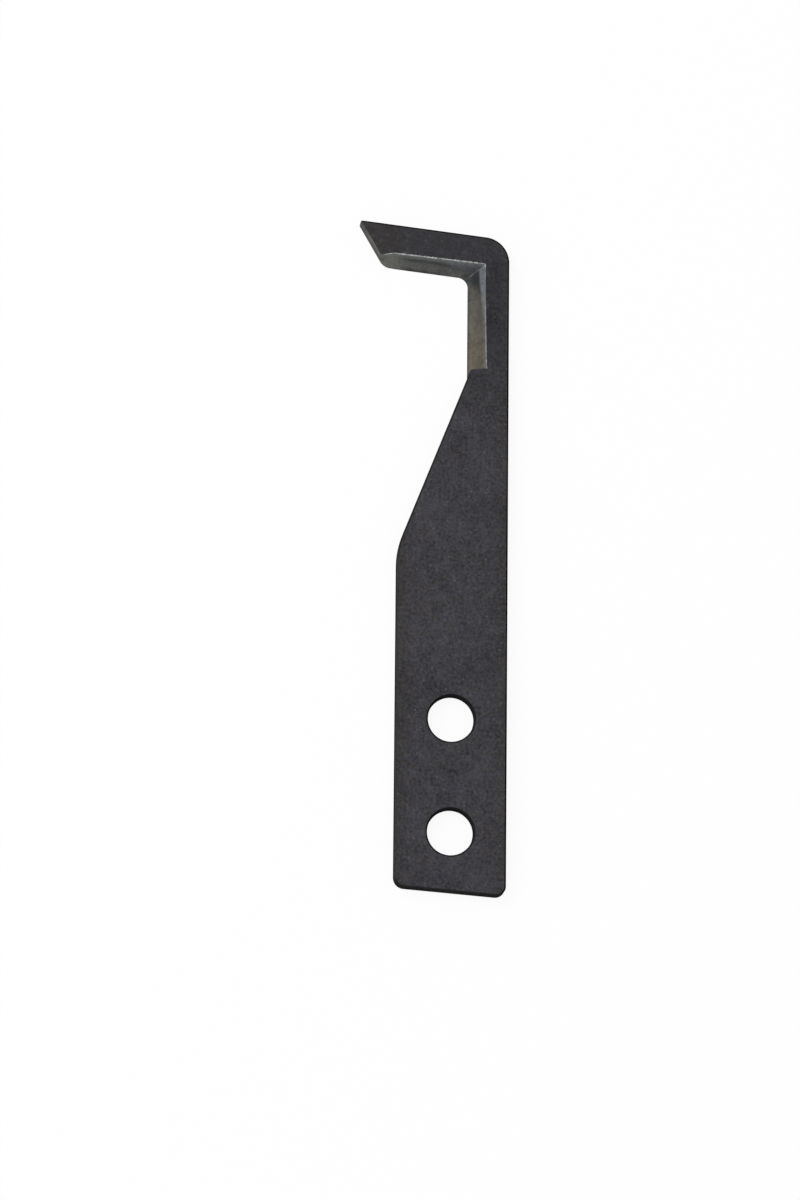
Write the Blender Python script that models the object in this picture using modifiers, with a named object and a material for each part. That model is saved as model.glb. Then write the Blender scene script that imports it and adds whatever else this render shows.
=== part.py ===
"""Hook cutter blade: a flat steel shank with two bolt holes, tapered to a leg and a raked arm.

The blade lies on its flat back in the XY plane, with its bevelled face up. Y runs along the shank
from the butt to the hook, X runs across it to the straight spine, and the origin is midway between
the bolt holes on the back. Lengths are in metres and angles in radians.
"""
import math

import bmesh
import bpy
from mathutils import Vector

# Bar stock
SHANK_WIDTH = 0.0190
THICKNESS = 0.0025
EDGE_BREAK = 0.0002

# Bolt holes, on the shank's centreline
HOLE_DIAMETER = 0.0079
HOLE_SPACING = 0.0195
HOLE_CHAMFER = 0.0003

# Butt, sheared at a small angle
BUTT_DISTANCE = 0.01015
BUTT_SLANT = math.radians(4.3)
BELLY_HEEL_RADIUS = 0.0019
SPINE_HEEL_RADIUS = 0.0017

# Taper from the shank to the leg
TAPER_DISTANCE = 0.0294
TAPER_ANGLE = math.radians(21.45)
SHOULDER_RADIUS = 0.015

# Leg and arm of the hook
LEG_WIDTH = 0.0070
THROAT_DISTANCE = 0.07775
ARM_RAKE = math.radians(6.2)
ARM_WIDTH = 0.00725
ARM_EDGE_LENGTH = 0.0147
TIP_ANGLE = math.radians(53.8)
THROAT_RADIUS = 0.0019
CROWN_RADIUS = 0.0045
NOSE_RADIUS = 0.0024
TIP_RADIUS = 0.00035

# Hollow-ground bevel round the inside of the hook
ARM_BEVEL_WIDTH = 0.0023
LEG_BEVEL_TOP_WIDTH = 0.00284
LEG_BEVEL_FOOT_WIDTH = 0.00324
BEVEL_FOOT_RISE = 0.00105
BEVEL_FOOT_SLANT = math.radians(7.5)
BEVEL_CORNER_RADIUS = 0.00025
NOSE_TURN_DISTANCE = 0.0014
NOSE_TURN = math.radians(16.5)
HOLLOW_DEPTH = 0.00012
EDGE_LAND = 0.00005

# How finely the round stretches are divided
ARC_STEP = math.radians(8.0)
HOLE_STEPS = 48
HOLLOW_STEPS = 6

# How far a cutter reaches past the steel that it cuts
CUTTER_OVERSHOOT = 0.0005
NOSE_OVERSHOOT = 0.004
BEVEL_OVERSHOOT = 0.01
TAPER_CLEARANCE = 0.00004

# Tolerances, and the sharpest angle that is shaded as one surface
WELD_DISTANCE = 0.000001
SAME_PLACE = 0.00001
FLAT_ANGLE = math.radians(1.0)
SMOOTH_ANGLE = math.radians(20.0)

# Places that follow from the sizes
SPINE_X = SHANK_WIDTH / 2
BELLY_X = -SHANK_WIDTH / 2
LEG_X = SPINE_X - LEG_WIDTH
HOLE_RADIUS = HOLE_DIAMETER / 2
UPPER_HOLE_Y = HOLE_SPACING / 2
LOWER_HOLE_Y = -HOLE_SPACING / 2
ALONG_ARM = Vector((-math.cos(ARM_RAKE), math.sin(ARM_RAKE)))
ACROSS_ARM = Vector((math.sin(ARM_RAKE), math.cos(ARM_RAKE)))


def turned(vector, angle):
    """A flat vector turned anticlockwise by an angle."""
    cosine, sine = math.cos(angle), math.sin(angle)
    return Vector((vector.x * cosine - vector.y * sine, vector.x * sine + vector.y * cosine))


def butt_point(x):
    """The point of the slanted butt line at a distance x across the shank."""
    return Vector((x, LOWER_HOLE_Y - BUTT_DISTANCE - x * math.tan(BUTT_SLANT)))


def crossing_at_x(point, direction, x):
    """Where a line through a point crosses a line parallel to the spine."""
    return point + direction * ((x - point.x) / direction.x)


# Sharp corners of the outline, before they are rounded
SHOULDER = Vector((BELLY_X, UPPER_HOLE_Y + TAPER_DISTANCE))
LEG_FOOT = Vector((LEG_X, SHOULDER.y + (LEG_X - BELLY_X) / math.tan(TAPER_ANGLE)))
THROAT = Vector((LEG_X, UPPER_HOLE_Y + THROAT_DISTANCE))
NOSE = THROAT + ALONG_ARM * ARM_EDGE_LENGTH
TIP = NOSE + turned(ALONG_ARM, -TIP_ANGLE) * (ARM_WIDTH / math.sin(TIP_ANGLE))
CROWN = crossing_at_x(THROAT + ACROSS_ARM * ARM_WIDTH, ALONG_ARM, SPINE_X)

# The wall at the foot of the bevel: the way it runs, and its corner on the line of the taper's rim
UP_THE_WALL = Vector((1.0, math.tan(BEVEL_FOOT_SLANT)))
WALL_REACH = BEVEL_FOOT_RISE / (1 / math.tan(TAPER_ANGLE) - math.tan(BEVEL_FOOT_SLANT))
WALL_CORNER = LEG_FOOT + Vector((WALL_REACH, WALL_REACH / math.tan(TAPER_ANGLE)))


def rounded_corner(before, corner, after, radius, steps=0):
    """Points of the arc that rounds a corner, in the given number of steps or as fine as ARC_STEP."""
    arriving = (corner - before).normalized()
    leaving = (after - corner).normalized()
    turn = -arriving.angle_signed(leaving)
    steps = steps or math.ceil(abs(turn) / ARC_STEP)
    start = corner - arriving * (radius * math.tan(abs(turn) / 2))
    centre = start + turned(arriving, math.copysign(math.pi / 2, turn)) * radius
    return [centre + turned(start - centre, turn * step / steps) for step in range(steps + 1)]


def outline_points():
    """The rounded outline, anticlockwise, and the stretch of it that is ground to a cutting edge."""
    belly_heel, spine_heel = butt_point(BELLY_X), butt_point(SPINE_X)
    nose_arc = rounded_corner(TIP, NOSE, THROAT, NOSE_RADIUS)
    throat_arc = rounded_corner(NOSE, THROAT, LEG_FOOT, THROAT_RADIUS)
    outline = rounded_corner(SHOULDER, belly_heel, spine_heel, BELLY_HEEL_RADIUS)
    outline += rounded_corner(belly_heel, spine_heel, CROWN, SPINE_HEEL_RADIUS)
    outline += rounded_corner(spine_heel, CROWN, TIP, CROWN_RADIUS)
    outline += rounded_corner(CROWN, TIP, NOSE, TIP_RADIUS)
    outline += nose_arc + throat_arc + [LEG_FOOT]
    outline += rounded_corner(LEG_FOOT, SHOULDER, belly_heel, SHOULDER_RADIUS)
    return outline, nose_arc[-1:] + throat_arc + [LEG_FOOT]


def make_material(name, colour, metallic, roughness):
    """A Principled material of one colour."""
    material = bpy.data.materials.new(name)
    material.use_nodes = True
    shader = material.node_tree.nodes["Principled BSDF"]
    shader.inputs["Base Color"].default_value = (*colour, 1.0)
    shader.inputs["Metallic"].default_value = metallic
    shader.inputs["Roughness"].default_value = roughness
    material.diffuse_color = (*colour, 1.0)
    return material


def make_collection(name):
    """A new collection in the scene."""
    collection = bpy.data.collections.new(name)
    bpy.context.scene.collection.children.link(collection)
    return collection


def place_cutter(cutter, cutters, material):
    """Files an object as a cutter, out of renders and drawn as wire, with the finish that it leaves."""
    cutters.objects.link(cutter)
    cutter.hide_render = True
    cutter.display_type = "WIRE"
    cutter.data.materials.append(material)
    return cutter


def flat_plate(points):
    """The plate as a filled outline of the stock's thickness, turned into a mesh with welded faces."""
    curve = bpy.data.curves.new("outline", "CURVE")
    curve.dimensions = "2D"
    curve.fill_mode = "BOTH"
    curve.extrude = THICKNESS / 2
    spline = curve.splines.new("POLY")
    spline.points.add(len(points) - 1)
    for control, point in zip(spline.points, points):
        control.co = (point.x, point.y, 0.0, 1.0)
    spline.use_cyclic_u = True
    outline = bpy.data.objects.new("outline", curve)
    outline.location.z = THICKNESS / 2
    bpy.context.scene.collection.objects.link(outline)
    bpy.context.view_layer.update()
    evaluated = outline.evaluated_get(bpy.context.evaluated_depsgraph_get())
    mesh = bpy.data.meshes.new_from_object(evaluated)
    mesh.transform(outline.matrix_world)
    bpy.data.objects.remove(outline)
    shape = bmesh.new()
    shape.from_mesh(mesh)
    bmesh.ops.remove_doubles(shape, verts=shape.verts, dist=WELD_DISTANCE)
    bmesh.ops.recalc_face_normals(shape, faces=shape.faces)
    shape.to_mesh(mesh)
    shape.free()
    return mesh


def lies_on(point, path):
    """Whether a point of the back face is one of the corners of a flat path."""
    return any((point.xy - corner).length < SAME_PLACE for corner in path)


def break_edges(mesh, ground):
    """Takes the sharpness off the plate's rims, except under the edge that is ground to cut."""
    shape = bmesh.new()
    shape.from_mesh(mesh)
    bmesh.ops.dissolve_limit(shape, angle_limit=FLAT_ANGLE, verts=shape.verts, edges=shape.edges)
    rims = []
    for edge in shape.edges:
        low, high = (vertex.co for vertex in edge.verts)
        across_the_thickness = abs(low.z - high.z) > THICKNESS / 2
        on_the_back = max(low.z, high.z) < THICKNESS / 2
        cutting = on_the_back and lies_on(low, ground) and lies_on(high, ground)
        if not across_the_thickness and not cutting:
            rims.append(edge)
    bmesh.ops.bevel(shape, geom=rims, offset=EDGE_BREAK, offset_type="OFFSET", segments=1,
                    affect="EDGES", clamp_overlap=True)
    bmesh.ops.recalc_face_normals(shape, faces=shape.faces)
    shape.to_mesh(mesh)
    shape.free()


def hole_cutter(name, y):
    """A turned drill and countersink in one, for a bolt hole with both its rims chamfered."""
    mouth = HOLE_RADIUS + HOLE_CHAMFER + CUTTER_OVERSHOOT
    top = THICKNESS + CUTTER_OVERSHOOT
    profile = [
        (0.0, top),
        (mouth, top),
        (HOLE_RADIUS, THICKNESS - HOLE_CHAMFER),
        (HOLE_RADIUS, HOLE_CHAMFER),
        (mouth, -CUTTER_OVERSHOOT),
        (0.0, -CUTTER_OVERSHOOT),
    ]
    mesh = bpy.data.meshes.new(name)
    mesh.from_pydata([(radius, 0.0, z) for radius, z in profile],
                     [(index, index + 1) for index in range(len(profile) - 1)], [])
    cutter = bpy.data.objects.new(name, mesh)
    cutter.location.y = y
    screw = cutter.modifiers.new("turn", "SCREW")
    screw.steps = HOLE_STEPS
    screw.render_steps = HOLE_STEPS
    screw.use_merge_vertices = True
    screw.merge_threshold = WELD_DISTANCE
    return cutter


def bevel_section(share):
    """Plan of the ground hollow at a share of the bevel's width: 0 at the cutting edge, 1 at the face line."""
    edge_start = NOSE - ALONG_ARM * NOSE_TURN_DISTANCE
    face_start = edge_start + ACROSS_ARM * ARM_BEVEL_WIDTH
    start = edge_start.lerp(face_start, share)
    nose_end = start + turned(ALONG_ARM, NOSE_TURN) * NOSE_OVERSHOOT

    # Round the throat the edge is an arc and the face line nearly a sharp corner
    face_throat = crossing_at_x(face_start, ALONG_ARM, LEG_X + LEG_BEVEL_TOP_WIDTH)
    face_foot = WALL_CORNER + UP_THE_WALL * (LEG_X + LEG_BEVEL_FOOT_WIDTH - WALL_CORNER.x)
    edge_arc = rounded_corner(NOSE, THROAT, LEG_FOOT, THROAT_RADIUS)
    face_arc = rounded_corner(face_start, face_throat, face_foot, BEVEL_CORNER_RADIUS, len(edge_arc) - 1)
    throat = [low.lerp(high, share) for low, high in zip(edge_arc, face_arc)]

    # At the foot the hollow stops at a wall, which starts where the taper's rim would carry on up
    across = LEG_BEVEL_FOOT_WIDTH * share
    up_the_taper = min(max(across / (WALL_CORNER.x - LEG_X), 0.0), 1.0)
    wall_corner = LEG_FOOT.lerp(WALL_CORNER, up_the_taper)
    foot = wall_corner + UP_THE_WALL * (LEG_X + across - wall_corner.x)
    past_the_taper = LEG_FOOT + turned(Vector((-TAPER_CLEARANCE, 0.0)), -TAPER_ANGLE)
    open_side = Vector((nose_end.x, WALL_CORNER.y))
    return [nose_end, start, *throat, foot, wall_corner, past_the_taper, open_side]


def bevel_height(share):
    """Height of the hollow bevel at a share of its width."""
    inside = min(max(share, 0.0), 1.0)
    return EDGE_LAND + (THICKNESS - EDGE_LAND) * share - 4 * HOLLOW_DEPTH * inside * (1 - inside)


def bevel_cutter():
    """What the grinding takes out of the hook: a loft of plans from the cutting edge up to the face line."""
    shares = [step / HOLLOW_STEPS for step in range(HOLLOW_STEPS + 1)]
    shares = [-BEVEL_OVERSHOOT] + shares + [1 + BEVEL_OVERSHOOT]
    shape = bmesh.new()
    sections = []
    for share in shares:
        height = bevel_height(share)
        sections.append([shape.verts.new((*point, height)) for point in bevel_section(share)])
    for lower, upper in zip(sections, sections[1:]):
        for index in range(len(lower)):
            shape.faces.new((lower[index - 1], lower[index], upper[index], upper[index - 1]))
    shape.faces.new(sections[0])
    shape.faces.new(sections[-1])
    bmesh.ops.remove_doubles(shape, verts=shape.verts, dist=WELD_DISTANCE)
    bmesh.ops.recalc_face_normals(shape, faces=shape.faces)
    mesh = bpy.data.meshes.new("bevel_cutter")
    shape.to_mesh(mesh)
    shape.free()
    return bpy.data.objects.new("bevel_cutter", mesh)


def cut(blade, cutter):
    """Takes a cutter out of the blade, and gives the cut faces the cutter's finish."""
    boolean = blade.modifiers.new(cutter.name, "BOOLEAN")
    boolean.operation = "DIFFERENCE"
    boolean.solver = "EXACT"
    boolean.object = cutter
    boolean.material_mode = "TRANSFER"


def make_blade(parts, cutters):
    """The blade: plate, broken rims, two bolt holes and the bevel round the inside of the hook."""
    black_oxide = make_material("black_oxide_steel", (0.046, 0.046, 0.050), 0.6, 0.55)
    ground_steel = make_material("ground_steel", (0.26, 0.26, 0.25), 1.0, 0.38)
    points, ground = outline_points()
    mesh = flat_plate(points)
    mesh.name = "blade"
    break_edges(mesh, ground)
    mesh.materials.append(black_oxide)
    blade = bpy.data.objects.new("blade", mesh)
    parts.objects.link(blade)
    for name, y in (("upper_hole_cutter", UPPER_HOLE_Y), ("lower_hole_cutter", LOWER_HOLE_Y)):
        cut(blade, place_cutter(hole_cutter(name, y), cutters, black_oxide))
    cut(blade, place_cutter(bevel_cutter(), cutters, ground_steel))
    mesh.shade_smooth()
    mesh.set_sharp_from_angle(angle=SMOOTH_ANGLE)
    return blade


def main():
    """Clears the scene and models the blade."""
    for item in list(bpy.data.objects):
        bpy.data.objects.remove(item)
    make_blade(make_collection("cutter_blade"), make_collection("cutters"))


main()
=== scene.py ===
"""Looks of the hook cutter blade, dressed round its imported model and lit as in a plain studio.

The blade lies on its flat back in the XY plane with the bevelled face up. Y runs along the shank from
the butt to the hook, X runs across it to the straight spine, and the origin is midway between the bolt
holes on the back. Lengths are in metres and angles in radians.
"""
import logging
import math
from dataclasses import dataclass, field
from enum import Enum
from typing import Any

import bmesh
import bpy
from mathutils import Matrix, Vector

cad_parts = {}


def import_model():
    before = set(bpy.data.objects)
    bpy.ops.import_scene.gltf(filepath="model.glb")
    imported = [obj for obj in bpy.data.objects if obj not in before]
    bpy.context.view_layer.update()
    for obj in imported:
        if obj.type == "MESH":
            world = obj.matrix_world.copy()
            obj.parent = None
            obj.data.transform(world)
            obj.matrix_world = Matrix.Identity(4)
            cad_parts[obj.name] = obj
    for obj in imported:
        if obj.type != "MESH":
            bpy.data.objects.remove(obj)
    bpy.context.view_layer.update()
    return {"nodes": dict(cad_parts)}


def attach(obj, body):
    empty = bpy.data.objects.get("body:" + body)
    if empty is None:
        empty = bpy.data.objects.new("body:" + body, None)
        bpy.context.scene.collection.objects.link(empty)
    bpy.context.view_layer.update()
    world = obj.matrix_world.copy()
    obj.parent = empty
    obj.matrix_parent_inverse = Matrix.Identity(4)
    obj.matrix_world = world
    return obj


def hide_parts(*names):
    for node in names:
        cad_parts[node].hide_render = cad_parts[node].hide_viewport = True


MM = 0.001
# Noise stays near its middle, so it is spread out by this much to reach both ends.
NOISE_SPREAD = 4.0
NOISE_ROUGHNESS = 0.6

Triple = tuple[float, float, float]
Colour = Triple
Span = tuple[float, float]
Tones = tuple[tuple[float, Colour], ...]

NO_TINT: Colour = (1.0, 1.0, 1.0)

log = logging.getLogger("hook_blade")


class Surface(Enum):
    """The kinds of surface on the blade, each with its own finish."""

    FACE = 0
    RIM = 1
    WALL = 2
    END = 3
    BORE = 4
    ARM_BEVEL = 5
    LEG_BEVEL = 6
    # Lit and shaded copies of the rim's oxide: painted shade on rims facing away from the lamps, painted
    # light on the belly's rim.
    SHADED_SPINE_RIM = 7
    LIT_BELLY_RIM = 8


def turned(vector: Vector, angle: float) -> Vector:
    """A flat vector turned anticlockwise by an angle."""
    cosine, sine = math.cos(angle), math.sin(angle)
    return Vector((vector.x * cosine - vector.y * sine, vector.x * sine + vector.y * cosine))


def crossing_at_x(point: Vector, direction: Vector, x: float) -> Vector:
    """Where a line through a point crosses a line parallel to the spine."""
    return point + direction * ((x - point.x) / direction.x)


def ramp(value: float, low: float, high: float) -> float:
    """How far a value has come from low to high, held between 0 and 1."""
    return min(max((value - low) / (high - low), 0.0), 1.0)


def rounded_corner(before: Vector, corner: Vector, after: Vector, radius: float, steps: int) -> list[Vector]:
    """The arc that rounds a corner of a flat path.

    Args:
        before: A point of the straight stretch that arrives at the corner.
        corner: The sharp corner.
        after: A point of the straight stretch that leaves the corner.
        radius: The arc's radius.
        steps: How many straight steps make the arc.

    Returns:
        The arc's points, in order, with both its ends.
    """
    arriving = (corner - before).normalized()
    leaving = (after - corner).normalized()
    turn = -arriving.angle_signed(leaving)
    start = corner - arriving * (radius * math.tan(abs(turn) / 2))
    centre = start + turned(arriving, math.copysign(math.pi / 2, turn)) * radius
    return [centre + turned(start - centre, turn * step / steps) for step in range(steps + 1)]


@dataclass(frozen=True)
class BladePlan:
    """The blade's sizes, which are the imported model's own, and the places that follow from them.

    Attributes:
        butt_distance: From the middle of the lower hole to the butt, on the centreline.
        butt_slant: How far the butt is off square.
        taper_distance: From the middle of the upper hole to the shoulder, along the shank.
        throat_distance: From the middle of the upper hole to the throat's sharp corner, along the shank.
        arm_rake: How far the arm is off square to the spine, rising towards its nose.
        arm_edge_length: From the throat to the nose, both as sharp corners.
        tip_angle: The angle at the arm's tip, between its end face and its top.
        bevel_foot_rise: How far over the leg's foot the wall's line would meet the cutting edge's.
        bevel_foot_slant: How far the wall at the bevel's foot is off square, rising towards the spine.
        strip_start: Where the leg's second facet starts at the throat, as a share of the bevel's width. The
            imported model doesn't have this facet.
        strip_slant: How much that share grows with each metre down the leg.
        nose_turn_distance: How far before the nose the cutting edge and the face line turn down to it.
        nose_turn: How far they turn.
    """

    shank_width: float = 19.0 * MM
    thickness: float = 2.5 * MM
    hole_radius: float = 3.95 * MM
    hole_spacing: float = 19.5 * MM
    butt_distance: float = 10.15 * MM
    butt_slant: float = math.radians(4.3)
    belly_heel_radius: float = 1.9 * MM
    spine_heel_radius: float = 1.7 * MM
    taper_distance: float = 29.4 * MM
    taper_angle: float = math.radians(21.45)
    shoulder_radius: float = 15.0 * MM
    leg_width: float = 7.0 * MM
    throat_distance: float = 77.75 * MM
    arm_rake: float = math.radians(6.2)
    arm_width: float = 7.25 * MM
    arm_edge_length: float = 14.7 * MM
    tip_angle: float = math.radians(53.8)
    throat_radius: float = 1.9 * MM
    crown_radius: float = 4.5 * MM
    nose_radius: float = 2.4 * MM
    tip_radius: float = 0.35 * MM
    arm_bevel_width: float = 2.3 * MM
    leg_bevel_top_width: float = 2.84 * MM
    leg_bevel_foot_width: float = 3.24 * MM
    bevel_foot_rise: float = 1.05 * MM
    bevel_foot_slant: float = math.radians(7.5)
    strip_start: float = 0.648
    strip_slant: float = 0.027 / MM
    nose_turn_distance: float = 1.4 * MM
    nose_turn: float = math.radians(16.5)

    @property
    def spine_x(self) -> float:
        """Where the straight spine is, across the shank."""
        return self.shank_width / 2

    @property
    def belly_x(self) -> float:
        """Where the other long side of the shank is."""
        return -self.shank_width / 2

    @property
    def leg_x(self) -> float:
        """Where the leg's cutting edge is, across the shank."""
        return self.spine_x - self.leg_width

    @property
    def hole_y(self) -> float:
        """How far each bolt hole is from the origin."""
        return self.hole_spacing / 2

    @property
    def along_arm(self) -> Vector:
        """The way the arm runs, from the throat to the nose."""
        return Vector((-math.cos(self.arm_rake), math.sin(self.arm_rake)))

    @property
    def across_arm(self) -> Vector:
        """The way across the arm, from its cutting edge to its top."""
        return Vector((math.sin(self.arm_rake), math.cos(self.arm_rake)))

    @property
    def shoulder(self) -> Vector:
        """The sharp corner between the shank and the taper."""
        return Vector((self.belly_x, self.hole_y + self.taper_distance))

    @property
    def leg_foot(self) -> Vector:
        """The corner where the taper meets the leg's cutting edge."""
        rise = (self.leg_x - self.belly_x) / math.tan(self.taper_angle)
        return Vector((self.leg_x, self.shoulder.y + rise))

    @property
    def throat(self) -> Vector:
        """The sharp corner between the two cutting edges."""
        return Vector((self.leg_x, self.hole_y + self.throat_distance))

    @property
    def nose(self) -> Vector:
        """The sharp corner between the arm's cutting edge and its end face."""
        return self.throat + self.along_arm * self.arm_edge_length

    @property
    def tip(self) -> Vector:
        """The sharp corner between the arm's end face and its top."""
        length = self.arm_width / math.sin(self.tip_angle)
        return self.nose + turned(self.along_arm, -self.tip_angle) * length

    @property
    def crown(self) -> Vector:
        """The sharp corner between the arm's top and the spine."""
        return crossing_at_x(self.throat + self.across_arm * self.arm_width, self.along_arm, self.spine_x)

    @property
    def up_the_wall(self) -> Vector:
        """The way the wall at the bevel's foot runs, towards the spine."""
        return Vector((1.0, math.tan(self.bevel_foot_slant)))

    @property
    def wall_corner(self) -> Vector:
        """The corner of that wall on the taper's rim."""
        reach = self.bevel_foot_rise / (1 / math.tan(self.taper_angle) - math.tan(self.bevel_foot_slant))
        return self.leg_foot + Vector((reach, reach / math.tan(self.taper_angle)))

    @property
    def edge_start(self) -> Vector:
        """Where the arm's cutting edge turns down to the nose."""
        return self.nose - self.along_arm * self.nose_turn_distance

    @property
    def face_start(self) -> Vector:
        """Where the arm's face line turns down to the nose."""
        return self.edge_start + self.across_arm * self.arm_bevel_width

    @property
    def face_throat(self) -> Vector:
        """The corner of the face line over the throat."""
        return crossing_at_x(self.face_start, self.along_arm, self.leg_x + self.leg_bevel_top_width)

    @property
    def face_foot(self) -> Vector:
        """The corner of the face line at the bevel's foot."""
        reach = self.leg_x + self.leg_bevel_foot_width - self.wall_corner.x
        return self.wall_corner + self.up_the_wall * reach

    def strip_share(self, down: float) -> float:
        """Where the leg's second facet starts, as a share of the width, at a distance below the throat."""
        return self.strip_start + self.strip_slant * down

    def butt_point(self, x: float) -> Vector:
        """The point of the slanted butt line at a distance x across the shank."""
        return Vector((x, -self.hole_y - self.butt_distance - x * math.tan(self.butt_slant)))


class NodeBuilder:
    """Adds nodes to a node tree and links them, with plain values set on the sockets themselves."""

    def __init__(self, tree: bpy.types.NodeTree) -> None:
        """Keeps the tree that the nodes go into."""
        self.tree = tree

    def add(self, kind: str, inputs: dict[Any, Any] | None = None, **settings: Any) -> bpy.types.Node:
        """Adds one node.

        Args:
            kind: The node's type, as Blender names it.
            inputs: Values or source sockets, by the input's name or number.
            **settings: Properties of the node itself.

        Returns:
            The new node.
        """
        node = self.tree.nodes.new(kind)
        for name, value in settings.items():
            setattr(node, name, value)
        for key, value in (inputs or {}).items():
            if isinstance(value, bpy.types.NodeSocket):
                self.tree.links.new(value, node.inputs[key])
            else:
                node.inputs[key].default_value = value
        return node

    def math(self, operation: str, first: Any, second: Any = 0.0, third: Any = 0.0) -> bpy.types.NodeSocket:
        """The result of one sum on numbers.

        Args:
            operation: The sum, as Blender names it.
            first: The first value or socket.
            second: The second value or socket.
            third: The third value or socket.

        Returns:
            The socket that gives the result.
        """
        return self.add("ShaderNodeMath", {0: first, 1: second, 2: third}, operation=operation).outputs[0]

    def vector(self, operation: str, first: Any, second: Any = (0.0, 0.0, 0.0)) -> bpy.types.NodeSocket:
        """The result of one sum on vectors.

        Args:
            operation: The sum, as Blender names it.
            first: The first vector or socket.
            second: The second vector or socket.

        Returns:
            The socket that gives the result, which is a number for a length or a dot product.
        """
        node = self.add("ShaderNodeVectorMath", {0: first, 1: second}, operation=operation)
        return node.outputs["Value" if operation in ("LENGTH", "DOT_PRODUCT") else "Vector"]

    def scaled(self, vector: Any, factor: Any) -> bpy.types.NodeSocket:
        """A vector or colour multiplied by a number."""
        return self.add("ShaderNodeVectorMath", {0: vector, 3: factor}, operation="SCALE").outputs[0]

    def centred(self, noise: Any) -> bpy.types.NodeSocket:
        """Noise moved so that it swings to both sides of 0."""
        return self.math("SUBTRACT", noise, 0.5)

    def product(self, *values: Any) -> bpy.types.NodeSocket:
        """Values multiplied together, such as masks that all have to hold.

        Args:
            *values: Two or more values or sockets.

        Returns:
            The socket that gives the result.
        """
        result = values[0]
        for value in values[1:]:
            result = self.math("MULTIPLY", result, value)
        return result

    def between(self, value: Any, low: Any, high: Any) -> bpy.types.NodeSocket:
        """How far a value has come from low to high, from 0 to 1, easing in and out.

        Args:
            value: The value or socket.
            low: Where the result is 0.
            high: Where the result is 1.

        Returns:
            The socket that gives the result.
        """
        limits = {0: value, 1: low, 2: high}
        return self.add("ShaderNodeMapRange", limits, interpolation_type="SMOOTHSTEP").outputs[0]


@dataclass(frozen=True)
class Specks:
    """Small scattered dots.

    Attributes:
        spacing: The usual distance between places where a dot may be.
        radius: A dot's radius, as a share of that distance.
        share: The share of those places that has a dot.
        core: The share of a dot's radius that is solid, with no fading.
    """

    spacing: float
    radius: float
    share: float
    core: float = 0.3


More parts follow.
